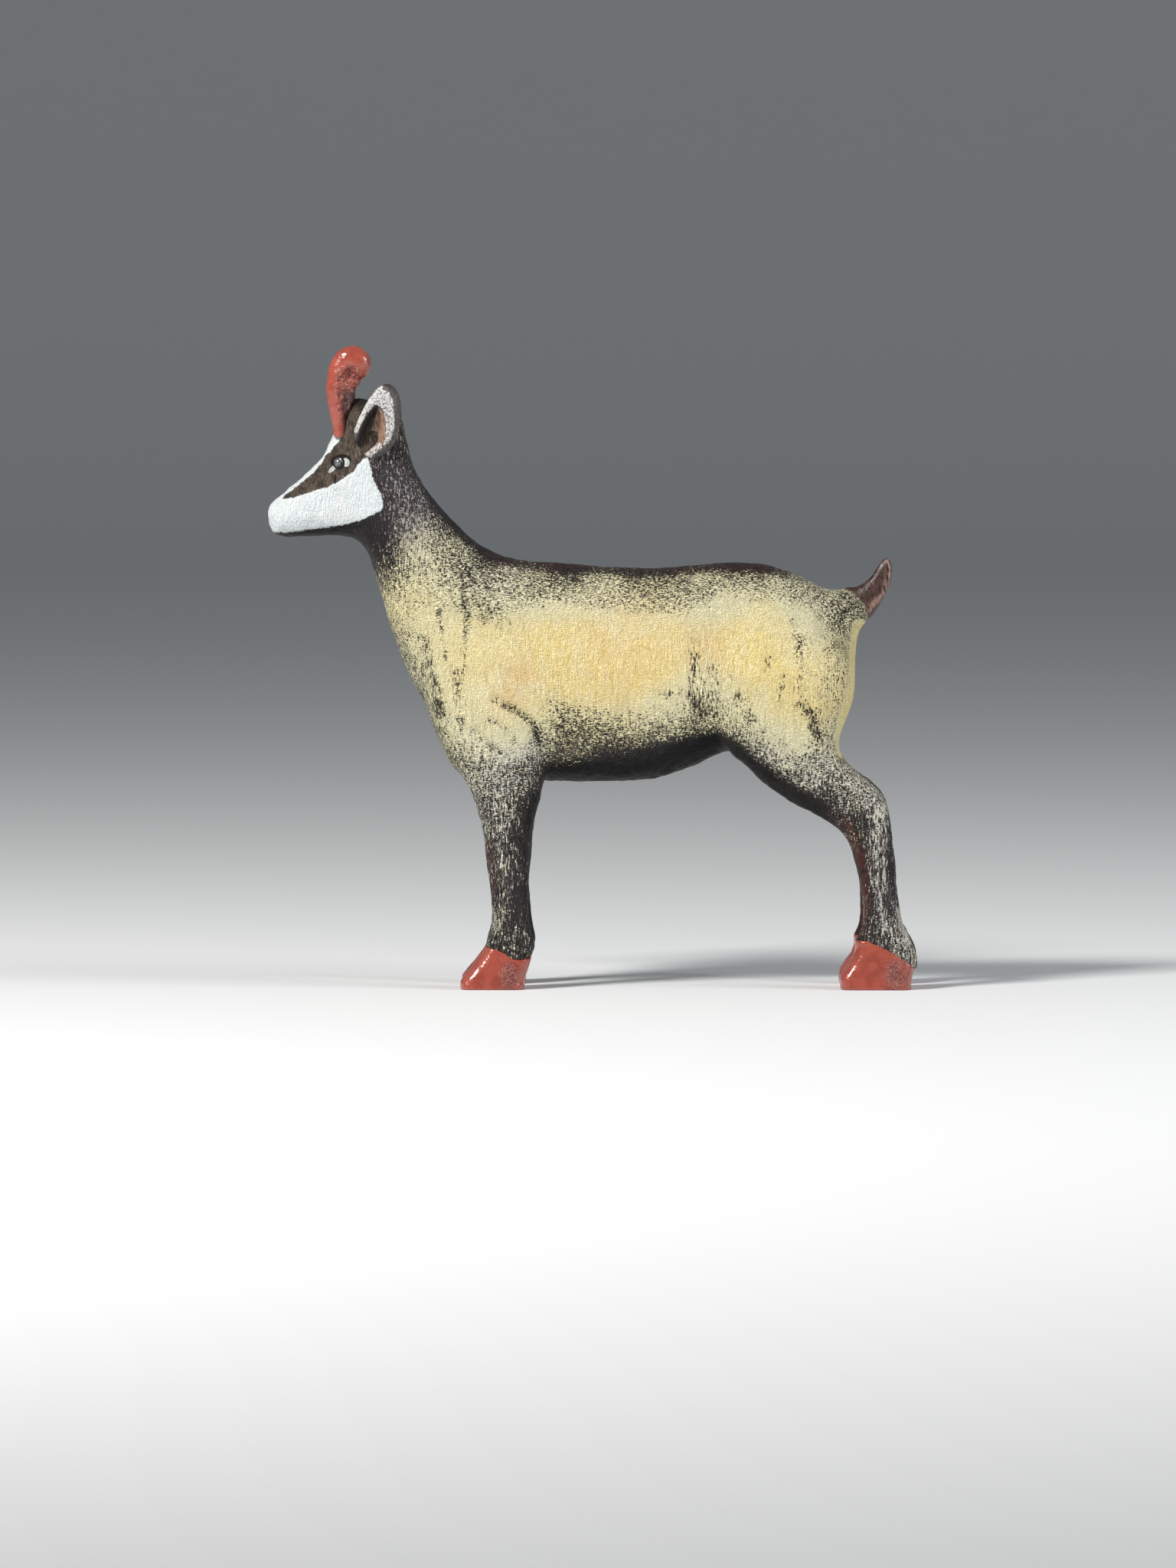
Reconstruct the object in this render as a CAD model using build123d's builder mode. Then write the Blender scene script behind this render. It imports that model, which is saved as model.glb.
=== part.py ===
"""A small wooden chamois, carved and painted, put together with glued tenons and blind dowels.

Millimetres, +Z up. The animal looks along -X and its left side is at -Y. The origin is on the ground,
in the middle of its length and width. Nothing moves: every piece is glued to its neighbour.

Slices of the trunk, head, tail and legs are ovals. Each is given by the two points (x, z) where its
edge crosses the side outline, and by how far it reaches out sideways.
"""

import os

from build123d import *

STANDING = (Align.CENTER, Align.CENTER, Align.MIN)  # a cylinder that stands on its place

# Driving dimensions
HEIGHT = 104.5  # ground to the top of the horns
WEB = 6.4  # wood left in the body between the housings of a left and a right leg
GLUE_FACE = WEB / 2  # distance of a leg's flat inner face from the middle plane
LEG_MIDDLE = 6.9  # distance of a shank's middle from the middle plane
SHOULDER_OUT = 10.8  # how far the shoulders stand out from the middle plane
SHOULDER_CROWN = (-17.5, 47.0)  # (x, z) where a shoulder stands out furthest
HAUNCH_OUT = 11.3
HAUNCH_CROWN = (31.0, 49.0)
CROWN_RADIUS = 30.0  # curvature of the outside of a shoulder or a haunch
RIM_ROUNDING = 1.6
FIT = 0.05  # radial room for glue around a tenon or a dowel
TENON_GAP = 0.3  # room for glue at the bottom of a hole

DOWEL_RADIUS = 1.5
DOWEL_REACH = 7.8  # the dowels end here, inside the legs
DOWEL_CHAMFER = 0.35
SHOULDER_DOWELS = {"upper": (-19, 54), "lower": (-17, 43.5)}  # (x, z)
HAUNCH_DOWELS = {"upper": (28, 57), "lower": (32, 46)}

HOOF_TENON_RADIUS = 1.5
HOOF_TENON_DEPTH = 3.0
FORE_TENON_X = -13.8
HIND_TENON_X = 47.2

HORN_MIDDLE = 2.75  # distance of a horn's middle from the middle plane
HORN_SEAT = 89.4  # height of the flat seat that a horn stands on
HORN_SEAT_RADIUS = 2.3
HORN_TENON_RADIUS = 0.9
HORN_TENON_DEPTH = 3.0
HORN_TENON_X = -40.4

EAR_SEAT = 4.0  # distance of the flat seat of an ear from the middle plane
EAR_SEAT_MIDDLE = (-34.4, 91.6)
EAR_SEAT_SIZE = (5.0, 7.0)  # half length and half height of the seat
EAR_RIM = 0.85  # width of the rim left around the hollow of an ear
EAR_HOLLOW_SHIFT = 1.1  # the hollow is the ear's own shape, moved outward by this
EAR_TENON_RADIUS = 0.7
EAR_TENON_END = 1.6  # distance of the tenon's end from the middle plane
EAR_TENON = (-34.6, 89.2)

TAIL_PEG_RADIUS = 1.0
TAIL_PEG_LENGTH = 5.0
TAIL_HALF_WIDTH = 2.3
STUMP_LENGTH = 6.0
STUMP_TAPER = 14  # degrees

EYE_RADIUS = 0.85
EYE = (-41.6, 85.5)
EYE_OUT = 4.75  # distance of the bead's middle from the middle plane
EYE_SEAT = 4.1  # distance of the bottom of its hollow from the middle plane
EYE_PIN_RADIUS = 0.4
EYE_PIN_LENGTH = 2.5

# Where the tail stands on the rump: (upper point, lower point)
TAIL_ROOT = ((42.0, 64.7), (45.3, 60.9))

# Trunk and neck, from the back of the head to the rump: (upper point, lower point, half width)
TRUNK_SLICES = [
    ((-31.0, 90.0), (-40.4, 75.5), 4.5),
    ((-28.4, 83.0), (-38.4, 72.3), 4.9),
    ((-23.6, 76.8), (-36.3, 69.2), 5.5),
    ((-17.4, 71.7), (-34.5, 63.6), 6.7),
    ((-9.0, 69.3), (-31.6, 54.6), 8.3),
    ((-2.0, 68.8), (-26.6, 43.8), 9.4),
    ((3.5, 68.4), (-15.5, 34.6), 10.0),
    ((8.0, 68.3), (-2.5, 33.4), 10.3),
    ((13.0, 68.4), (9.5, 33.8), 10.2),
    ((20.5, 68.9), (19.4, 37.2), 9.7),
    ((28.0, 68.7), (27.6, 40.5), 8.9),
    ((34.3, 66.7), (34.3, 43.5), 7.7),
    ((39.6, 64.9), (39.7, 47.5), 5.8),
    ((42.6, 63.3), (42.4, 53.0), 3.4),
]


# Head, from the muzzle to the back of the head: (forehead point, jaw point, half width)
HEAD_SLICES = [
    ((-52.8, 78.2), (-52.6, 74.9), 1.5),
    ((-51.5, 79.5), (-51.0, 73.8), 2.6),
    ((-48.3, 82.0), (-47.4, 73.5), 3.5),
    ((-45.2, 84.8), (-43.3, 73.5), 4.3),
    ((-42.8, 88.0), (-39.7, 73.4), 5.1),
    ((-41.2, 91.4), (-36.6, 74.0), 5.5),
    ((-38.0, 94.0), (-33.5, 76.5), 5.4),
    ((-33.9, 94.2), (-30.5, 81.0), 4.6),
    ((-31.4, 92.2), (-29.6, 86.0), 2.4),
]

# Legs, from the hoof line upward: (front point, rear point, half width)
FORE_HOOF_LINE = ((-17.6, 6.9), (-10.1, 4.9))
FORELEG_SLICES = [
    (*FORE_HOOF_LINE, 3.2),
    ((-16.8, 9.2), (-9.9, 8.4), 3.05),
    ((-16.3, 13.0), (-10.2, 13.0), 2.85),
    ((-17.0, 19.5), (-10.4, 19.5), 2.9),
    ((-18.0, 26.0), (-9.7, 26.0), 3.05),
    ((-19.6, 31.5), (-8.3, 32.0), 3.2),
    ((-23.0, 38.0), (-7.6, 38.6), 3.4),
    ((-24.5, 43.5), (-9.5, 43.5), 3.3),
]
HIND_HOOF_LINE = ((42.8, 7.7), (52.8, 3.5))
HIND_LEG_SLICES = [
    (*HIND_HOOF_LINE, 3.3),
    ((43.4, 9.6), (51.4, 8.4), 3.1),
    ((43.9, 12.8), (50.0, 12.8), 2.9),
    ((43.5, 17.6), (49.4, 17.6), 2.8),
    ((42.2, 22.5), (49.1, 23.0), 2.9),
    ((40.1, 26.2), (48.6, 28.0), 3.1),
    ((36.6, 28.3), (46.4, 32.6), 3.3),
    ((31.3, 31.2), (42.3, 36.0), 3.4),
    ((26.5, 34.9), (40.6, 41.0), 3.5),
    ((24.0, 39.5), (40.0, 46.5), 3.4),
]

# Side outlines of the shoulder and the haunch, each a closed smooth curve
SHOULDER_OUTLINE = [
    (-22.8, 36.0),
    (-25.0, 41.5),
    (-27.0, 48.0),
    (-26.6, 54.5),
    (-23.0, 60.5),
    (-18.0, 61.5),
    (-13.8, 57.0),
    (-11.5, 50.5),
    (-8.8, 43.5),
    (-7.9, 37.5),
    (-14.0, 32.5),
]
HAUNCH_OUTLINE = [
    (22.6, 37.6),
    (19.6, 43.5),
    (18.8, 51.0),
    (21.5, 58.5),
    (27.5, 63.0),
    (34.0, 61.5),
    (40.0, 57.0),
    (42.4, 50.5),
    (40.8, 42.0),
    (36.0, 36.0),
    (28.5, 34.4),
]

# Hooves, from the sole up to the hoof line: (front point, rear point, half width)
FORE_HOOF_SLICES = [
    ((-21.2, 0.0), (-11.2, 0.0), 3.5),
    ((-21.8, 0.9), (-11.0, 0.8), 3.75),
    ((-20.3, 3.1), (-10.6, 2.5), 3.7),
    (*FORE_HOOF_LINE, 3.3),
]
HIND_HOOF_SLICES = [
    ((41.0, 0.0), (51.6, 0.0), 3.5),
    ((40.5, 1.3), (51.9, 0.9), 3.75),
    ((41.4, 4.1), (52.2, 2.1), 3.7),
    (*HIND_HOOF_LINE, 3.4),
]

# Horns, from the foot up and over the hook to the tip: (outer point, inner point, half width)
HORN_SLICES = [
    ((-42.0, HORN_SEAT), (-38.8, HORN_SEAT), 1.4),
    ((-42.3, 92.0), (-38.4, 92.0), 1.6),
    ((-43.1, 95.0), (-38.6, 95.4), 1.85),
    ((-43.35, 98.6), (-38.7, 97.8), 1.95),
    ((-42.9, 101.4), (-38.3, 98.6), 1.95),
    ((-41.0, 103.8), (-37.9, 99.1), 1.95),
    ((-38.6, HEIGHT), (-37.5, 99.5), 1.9),
    ((-36.9, 103.4), (-37.1, 99.9), 1.5),
    ((-36.4, 102.0), (-36.8, 100.6), 0.6),
]

# Ears, from the foot to the tip: (front point, rear point, half width, middle of the slice)
EAR_SLICES = [
    ((-36.3, 86.7), (-33.8, 86.9), 0.9, 4.6),
    ((-38.0, 89.0), (-32.6, 88.8), 1.5, 5.0),
    ((-38.5, 91.6), (-32.0, 91.4), 1.75, 5.5),
    ((-37.6, 94.4), (-32.0, 94.2), 1.65, 5.9),
    ((-36.2, 96.6), (-32.5, 96.6), 1.1, 6.1),
    ((-34.8, 97.8), (-33.2, 97.8), 0.45, 6.2),
]

# Tail, from its root to its tip: (upper point, lower point, half width)
TAIL_SLICES = [
    (*TAIL_ROOT, TAIL_HALF_WIDTH),
    ((44.2, 66.0), (47.0, 62.8), 2.0),
    ((46.0, 67.7), (48.4, 65.7), 1.35),
    ((47.3, 69.3), (48.7, 68.6), 0.6),
]


def midpoint(point_a, point_b):
    """Halfway between two points (x, z)."""
    return ((point_a[0] + point_b[0]) / 2, (point_a[1] + point_b[1]) / 2)


def slice_plane(point_a, point_b, y_middle=0.0):
    """An upright plane through two points (x, z) of the side outline, with its local Y along +Y."""
    x_middle, z_middle = midpoint(point_a, point_b)
    along = Vector(point_b[0] - point_a[0], 0, point_b[1] - point_a[1])
    return Plane(
        origin=(x_middle, y_middle, z_middle), x_dir=along, z_dir=along.cross(Vector(0, 1, 0))
    )


def half_length(point_a, point_b):
    """Half the distance between two points (x, z)."""
    return Vector(point_b[0] - point_a[0], point_b[1] - point_a[1]).length / 2


def height_on_line(point_a, point_b, x):
    """The height at x of the straight line through two points (x, z)."""
    return point_a[1] + (x - point_a[0]) * (point_b[1] - point_a[1]) / (point_b[0] - point_a[0])


def side_plane(side, distance=0.0):
    """A plane parallel to the side view at a distance from the middle plane, on one side.

    Its local axes are +X and +Z, so its normal is -Y on both sides of the animal.
    """
    return Plane(origin=(0, side * distance, 0), x_dir=(1, 0, 0), z_dir=(0, -1, 0))


def make_ovals(slices, side=0, middle=0.0):
    """A smooth solid through oval slices, with its middle at a distance from the middle plane."""
    with BuildPart() as ovals:
        for point_a, point_b, half_width in slices:
            with BuildSketch(slice_plane(point_a, point_b, side * middle)):
                Ellipse(half_length(point_a, point_b), half_width)
        loft()
    return ovals.part


def make_leg(side, slices, outline, crown, reach, dowels, tenon_x):
    """A leg: a shank of oval slices, a flat-backed shoulder or haunch, and a tenon for the hoof."""
    with BuildPart() as pad:
        with BuildSketch(side_plane(side, GLUE_FACE)):
            with BuildLine():
                Spline(outline, periodic=True)
            make_face()
        extrude(amount=-side * reach)
        with Locations((crown[0], side * (reach - CROWN_RADIUS), crown[1])):
            Sphere(CROWN_RADIUS, mode=Mode.INTERSECT)
        fillet(pad.faces().filter_by(GeomType.SPHERE).edges(), RIM_ROUNDING)
    with BuildPart() as leg:
        add(make_ovals(slices, side, LEG_MIDDLE))
        add(pad.part)
        # the tenon that the hoof is glued on
        tenon_foot = height_on_line(*slices[0][:2], tenon_x) - HOOF_TENON_DEPTH
        with Locations((tenon_x, side * LEG_MIDDLE, tenon_foot)):
            Cylinder(HOOF_TENON_RADIUS, HOOF_TENON_DEPTH + 1, align=STANDING)
        # blind dowel holes in the inner face
        for x, z in dowels.values():
            with BuildSketch(side_plane(side, GLUE_FACE)):
                with Locations((x, z)):
                    Circle(DOWEL_RADIUS + FIT)
            extrude(amount=-side * (DOWEL_REACH + TENON_GAP - GLUE_FACE), mode=Mode.SUBTRACT)
    return leg.part


def make_hoof(side, slices, tenon_x):
    """A hoof of oval slices, with a blind hole for the leg's tenon."""
    with BuildPart() as hoof:
        add(make_ovals(slices, side, LEG_MIDDLE))
        hole_floor = height_on_line(*slices[-1][:2], tenon_x) - HOOF_TENON_DEPTH - TENON_GAP
        with Locations((tenon_x, side * LEG_MIDDLE, hole_floor)):
            Cylinder(HOOF_TENON_RADIUS + FIT, HEIGHT, align=STANDING, mode=Mode.SUBTRACT)
    return hoof.part


def make_horn(side):
    """A fat hook of oval slices, with a round tenon below it."""
    with BuildPart() as horn:
        add(make_ovals(HORN_SLICES, side, HORN_MIDDLE))
        with Locations((HORN_TENON_X, side * HORN_MIDDLE, HORN_SEAT - HORN_TENON_DEPTH)):
            Cylinder(HORN_TENON_RADIUS, HORN_TENON_DEPTH + 1, align=STANDING)
    return horn.part


def make_ear(side):
    """A leaf of oval slices with a flat back, hollowed in front, and a tenon towards the head."""
    with BuildPart() as ear:
        for front, rear, half_width, middle in EAR_SLICES:
            with BuildSketch(slice_plane(front, rear, side * middle)):
                Ellipse(half_length(front, rear), half_width)
        loft()
        split(bisect_by=Plane((0, side * EAR_SEAT, 0), z_dir=(0, side, 0)))
        with BuildSketch(side_plane(side, EAR_TENON_END)):
            with Locations(EAR_TENON):
                Circle(EAR_TENON_RADIUS)
        extrude(amount=-side * (EAR_SEAT + 0.5 - EAR_TENON_END))
        for front, rear, half_width, middle in EAR_SLICES[1:-1]:
            with BuildSketch(slice_plane(front, rear, side * (middle + EAR_HOLLOW_SHIFT))):
                Ellipse(half_length(front, rear) - EAR_RIM, half_width)
        loft(mode=Mode.SUBTRACT)
    return ear.part


def make_eye(side):
    """A round bead on a pin."""
    with BuildPart() as eye:
        with Locations((EYE[0], side * EYE_OUT, EYE[1])):
            Sphere(EYE_RADIUS)
        with BuildSketch(side_plane(side, EYE_SEAT - EYE_PIN_LENGTH)):
            with Locations(EYE):
                Circle(EYE_PIN_RADIUS)
        extrude(amount=-side * (EYE_PIN_LENGTH + EYE_OUT - EYE_SEAT))
    return eye.part


def make_dowel(position):
    """A cross dowel with chamfered ends."""
    with BuildPart() as dowel:
        with BuildSketch(Plane.XZ):
            with Locations(position):
                Circle(DOWEL_RADIUS)
        extrude(amount=DOWEL_REACH, both=True)
        chamfer(dowel.faces().filter_by(Axis.Y).edges(), DOWEL_CHAMFER)
    return dowel.part


# Tail, with a peg that runs forward and down into the rump
tail_root = slice_plane(*TAIL_ROOT)
with BuildPart() as tail:
    add(make_ovals(TAIL_SLICES))
    with BuildSketch(tail_root):
        Circle(TAIL_PEG_RADIUS)
    extrude(amount=-TAIL_PEG_LENGTH)

sides = {"left": -1, "right": 1}
pieces = {"tail": tail.part}
for name, side in sides.items():
    pieces[f"foreleg_{name}"] = make_leg(
        side,
        FORELEG_SLICES,
        SHOULDER_OUTLINE,
        SHOULDER_CROWN,
        SHOULDER_OUT,
        SHOULDER_DOWELS,
        FORE_TENON_X,
    )
    pieces[f"hind_leg_{name}"] = make_leg(
        side,
        HIND_LEG_SLICES,
        HAUNCH_OUTLINE,
        HAUNCH_CROWN,
        HAUNCH_OUT,
        HAUNCH_DOWELS,
        HIND_TENON_X,
    )
    pieces[f"hoof_fore_{name}"] = make_hoof(side, FORE_HOOF_SLICES, FORE_TENON_X)
    pieces[f"hoof_hind_{name}"] = make_hoof(side, HIND_HOOF_SLICES, HIND_TENON_X)
    pieces[f"horn_{name}"] = make_horn(side)
    pieces[f"ear_{name}"] = make_ear(side)
    pieces[f"eye_{name}"] = make_eye(side)
for name, position in SHOULDER_DOWELS.items():
    pieces[f"shoulder_dowel_{name}"] = make_dowel(position)
for name, position in HAUNCH_DOWELS.items():
    pieces[f"haunch_dowel_{name}"] = make_dowel(position)

# Body: trunk, neck and head from one board, with a housing, a hole or a seat for each other piece
with BuildPart() as body:
    add(make_ovals(TRUNK_SLICES))
    add(make_ovals(HEAD_SLICES))
    # the stump that carries the tail, widening into the rump
    with BuildSketch(tail_root):
        Ellipse(half_length(*TAIL_ROOT), TAIL_HALF_WIDTH)
    extrude(amount=-STUMP_LENGTH, taper=-STUMP_TAPER)
    for side in sides.values():
        # housings for a shoulder and a haunch
        for outline in (SHOULDER_OUTLINE, HAUNCH_OUTLINE):
            with BuildSketch(side_plane(side, GLUE_FACE)):
                with BuildLine():
                    Spline(outline, periodic=True)
                make_face()
            extrude(amount=-side * HAUNCH_OUT, mode=Mode.SUBTRACT)
        add(make_ovals(FORELEG_SLICES, side, LEG_MIDDLE), mode=Mode.SUBTRACT)
        # a flat seat and a tenon hole for a horn
        with Locations((HORN_TENON_X, side * HORN_MIDDLE, HORN_SEAT)):
            Cylinder(HORN_SEAT_RADIUS, HORN_SEAT_RADIUS * 3, align=STANDING, mode=Mode.SUBTRACT)
        with Locations((HORN_TENON_X, side * HORN_MIDDLE, HORN_SEAT - HORN_TENON_DEPTH - TENON_GAP)):
            Cylinder(HORN_TENON_RADIUS + FIT, HORN_TENON_DEPTH * 2, align=STANDING, mode=Mode.SUBTRACT)
        # a flat seat and a tenon hole for an ear
        with BuildSketch(side_plane(side, EAR_SEAT)):
            with Locations(EAR_SEAT_MIDDLE):
                Ellipse(*EAR_SEAT_SIZE)
        extrude(amount=-side * EAR_SEAT, mode=Mode.SUBTRACT)
        with BuildSketch(side_plane(side, EAR_TENON_END - TENON_GAP)):
            with Locations(EAR_TENON):
                Circle(EAR_TENON_RADIUS + FIT)
        extrude(amount=-side * EAR_SEAT, mode=Mode.SUBTRACT)
        # a round hollow and a pin hole for an eye
        for depth, radius in ((EYE_SEAT, EYE_RADIUS), (EYE_SEAT - EYE_PIN_LENGTH, EYE_PIN_RADIUS)):
            with BuildSketch(side_plane(side, depth)):
                with Locations(EYE):
                    Circle(radius + FIT)
            extrude(amount=-side * EYE_OUT, mode=Mode.SUBTRACT)
    # through holes for the four cross dowels
    for x, z in (*SHOULDER_DOWELS.values(), *HAUNCH_DOWELS.values()):
        with BuildSketch(Plane.XZ):
            with Locations((x, z)):
                Circle(DOWEL_RADIUS + FIT)
        extrude(amount=HAUNCH_OUT, both=True, mode=Mode.SUBTRACT)
    # the hole for the tail's peg
    with BuildSketch(tail_root):
        Circle(TAIL_PEG_RADIUS + FIT)
    extrude(amount=-TAIL_PEG_LENGTH - TENON_GAP, mode=Mode.SUBTRACT)
pieces["body"] = body.part

os.makedirs("parts", exist_ok=True)
for name, piece in pieces.items():
    piece.label = name
    export_step(piece, f"parts/{name}.step")
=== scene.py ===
"""Looks for a small wooden chamois, carved and painted by hand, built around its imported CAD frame.

Shapes are worked out in millimetres in the frame's own axes: +Z up, the animal looks along -X, and its
left side is at -Y. `place_in_frame` turns them into metres at the place and size of the CAD box.
"""

import bpy
import numpy as np
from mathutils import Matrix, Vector


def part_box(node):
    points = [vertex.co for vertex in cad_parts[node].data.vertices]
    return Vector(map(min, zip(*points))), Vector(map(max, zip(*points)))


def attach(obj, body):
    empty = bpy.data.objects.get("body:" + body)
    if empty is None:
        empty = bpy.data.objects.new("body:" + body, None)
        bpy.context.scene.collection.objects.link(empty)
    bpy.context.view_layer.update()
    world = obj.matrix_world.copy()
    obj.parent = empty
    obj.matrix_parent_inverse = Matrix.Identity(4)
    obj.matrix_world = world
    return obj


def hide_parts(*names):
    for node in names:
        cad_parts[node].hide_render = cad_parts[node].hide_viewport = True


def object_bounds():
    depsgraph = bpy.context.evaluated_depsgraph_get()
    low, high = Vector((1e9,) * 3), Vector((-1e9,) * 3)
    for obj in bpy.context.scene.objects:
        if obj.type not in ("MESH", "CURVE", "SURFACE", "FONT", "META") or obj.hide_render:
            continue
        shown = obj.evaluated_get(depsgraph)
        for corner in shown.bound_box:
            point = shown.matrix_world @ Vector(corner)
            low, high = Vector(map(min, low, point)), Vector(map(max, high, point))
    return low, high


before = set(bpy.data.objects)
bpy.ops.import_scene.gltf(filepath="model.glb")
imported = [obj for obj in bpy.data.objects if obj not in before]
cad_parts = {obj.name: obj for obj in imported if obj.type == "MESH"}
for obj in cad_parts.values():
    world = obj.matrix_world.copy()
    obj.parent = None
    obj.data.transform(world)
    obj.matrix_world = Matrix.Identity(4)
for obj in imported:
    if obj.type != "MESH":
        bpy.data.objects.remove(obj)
cad_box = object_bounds()

# --- measures
HEIGHT = 104.5  # ground to horn tops, in millimetres; the CAD box gives the same height in metres
MM = (cad_box[1].z - cad_box[0].z) / HEIGHT
CENTRE = Vector(((cad_box[0].x + cad_box[1].x) / 2, (cad_box[0].y + cad_box[1].y) / 2, cad_box[0].z))
SIDES = {"left": -1, "right": 1}  # and the sign of Y there
STEP = 0.32  # distance between the points that the body and legs are worked out at
SHARP_ANGLE = 52  # degrees between faces above which an edge stays sharp


def node_box(node):
    """Lowest and highest corner of a CAD node, in this file's millimetres."""
    low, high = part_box(node)
    return np.array((low - CENTRE) / MM), np.array((high - CENTRE) / MM)


def middle_distance(node):
    """Distance of the middle of a node on the left side from the middle plane."""
    low, high = node_box(node)
    return -(low[1] + high[1]) / 2


GLUE_FACE = -node_box("foreleg_left")[1][1]  # distance of a leg's flat back from the middle plane
LEG_MIDDLE = middle_distance("hoof_fore_left")
HORN_MIDDLE = middle_distance("horn_left")

# Side outlines, closed and smooth, as (x, z). Each runs up the front and down the rear.
BODY_OUTLINE = [
    (-52.9, 76.9), (-52.5, 78.7), (-50, 80.7), (-46.4, 83.7), (-43.7, 86.6), (-42.2, 89.5), (-41.3, 92),
    (-40.3, 94.6), (-38.6, 96), (-37, 95.9), (-34, 95.2), (-31.9, 94.3), (-31, 92), (-30.3, 88.5),
    (-29.3, 85), (-27.2, 81.3), (-24.4, 77.6), (-21, 74.1), (-17, 71.2), (-12, 69.6), (-4, 68.9),
    (8, 68.3), (17, 68.8), (25, 69.1), (30, 68.4), (34.5, 66.7), (38.2, 64.9), (42, 64.9), (44.8, 62.6),
    (45, 60.2), (43.4, 57.6), (42.9, 54), (42.5, 49), (41, 44.5), (36, 41.5), (29, 40), (21.4, 38.2),
    (15.5, 35.7), (9, 33.8), (0, 33.4), (-10, 33.8), (-18, 35.3), (-23.2, 37.8), (-25.6, 41.2),
    (-27.2, 45.6), (-29.4, 50), (-31.2, 54), (-32.7, 58.2), (-34, 62.6), (-35.4, 67), (-36.5, 70.2),
    (-38.2, 72.5), (-41, 73.5), (-46, 73.5), (-50.8, 73.6), (-52.3, 74.9),
]
FORELEG_OUTLINE = [
    (-17.6, 3), (-17.1, 8), (-16.3, 11.5), (-16.5, 16), (-17.3, 21), (-17.9, 26), (-19.2, 30.5),
    (-20.8, 34), (-23.4, 37.2), (-25, 41.5), (-27, 48), (-26.2, 55), (-22.5, 60.5), (-17.5, 61),
    (-13.6, 56.5), (-11.6, 50.5), (-9.5, 44.5), (-7.9, 39.5), (-7.7, 35.5), (-8.4, 31.5), (-9.5, 27),
    (-10.2, 21), (-10.4, 16), (-10.2, 11), (-9.5, 8), (-9.6, 6.2), (-10.6, 4.6), (-11.6, 3),
]
HIND_LEG_OUTLINE = [
    (42.4, 3), (42.8, 7.5), (43.7, 10), (43.9, 13.5), (43.4, 18), (42.2, 22.5), (40.6, 25.6),
    (37.3, 28), (33, 30.2), (28.8, 32.9), (25.2, 36.2), (22.4, 38.4), (19.8, 43.5), (18.9, 50),
    (21.3, 57.5), (27, 62.5), (34, 61.8), (39.6, 57.5), (42.2, 52.5), (42.5, 48), (41.3, 44),
    (40.2, 41), (40.3, 38.5), (42.3, 35.7), (46, 33), (47.9, 30.2), (48.7, 25.5), (49.3, 20),
    (49.6, 15), (50.3, 11), (51.6, 8.4), (52.7, 5.7), (52.8, 3.6), (52.4, 1),
]
TAIL_OUTLINE = [
    (41, 64.8), (43, 65.3), (44.5, 66.1), (46, 67.7), (47.2, 69.4), (48, 69.9), (48.8, 68.5),
    (48.5, 65.5), (47, 62.5), (45.2, 60.2), (43, 59.5), (41, 61.5),
]

# Half widths of the body at places (x, z) of its side, blended smoothly between them
BODY_WIDTHS = [
    (-52, 76.5, 2.7), (-47, 78, 3.7), (-42, 81, 5), (-38, 77, 5.2), (-36, 92, 4.7), (-33, 84, 5.2),
    (-28, 74, 6.2), (-30, 62, 7.2), (-17, 64, 8.4), (-27, 50, 8.2), (-14, 48, 9.6), (5, 50, 10.1),
    (5, 66, 8.8), (18, 52, 9.8), (30, 50, 9.6), (32, 64, 8.2), (41, 55, 6.6), (44.5, 62, 2.4),
]
WIDTH_REACH = 5.5
# Widths of the fillets where the legs meet the body
FORE_FILLET = 1.6
HIND_FILLET = 1.8

# Legs by height: (z, distance of the middle from the middle plane, half width, rounding of the edges)
FORELEG_WIDTHS = [
    (0, 6.9, 3.3, 3.1), (9, 6.9, 3, 3), (14, 6.9, 2.8, 3), (24, 6.8, 2.9, 3.2), (31, 6.6, 3.3, 3.6),
    (38, 6.2, 4.2, 4.6), (46, 5.4, 5.2, 6), (55, 4.8, 5, 6), (62, 4.2, 3.6, 5),
]
HIND_LEG_WIDTHS = [
    (0, 6.9, 3.4, 3.4), (9, 6.9, 3.1, 3.1), (15, 6.9, 2.8, 2.9), (24, 6.8, 2.9, 3.2),
    (31, 6.6, 3.3, 3.8), (37, 6.2, 4.1, 5), (44, 5.7, 5.2, 6.5), (51, 5.4, 5.8, 7), (58, 4.8, 5.2, 6.5),
    (64, 4.2, 3.8, 5),
]

# The hoof lines, where the fur ends, from front to rear as (x, z)
FORE_HOOF_LINE = [(-17.2, 6.7), (-15.6, 6.4), (-14.2, 5.7), (-13, 4.8), (-12, 4.6), (-10, 4.9)]
HIND_HOOF_LINE = [(42.8, 7.7), (44.6, 7.8), (46.4, 7.1), (48.7, 5.9), (50.5, 4.9), (52.4, 3.4)]

# Where the housings of the legs are cut into the body, as closed side outlines, out to beyond the skin
OUTSIDE = 30
FORELEG_CUT = [
    (-31, -4), (-31, 37), (-25.8, 41), (-27, 48), (-26.6, 54.5), (-23, 60.5), (-18, 61.5), (-13.8, 57),
    (-11.5, 50.5), (-8.8, 43.5), (-6.6, 37.5), (-3, 28), (-3, -4),
]
HIND_LEG_CUT = [
    (26, -4), (18, 30), (21.4, 38), (19.4, 43.5), (18.7, 51), (21.5, 58.5), (27.5, 63), (34, 61.5),
    (40, 57), (43.6, 50.5), (47, 43), (58, 40), (58, -4),
]

# --- shape tools


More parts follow.
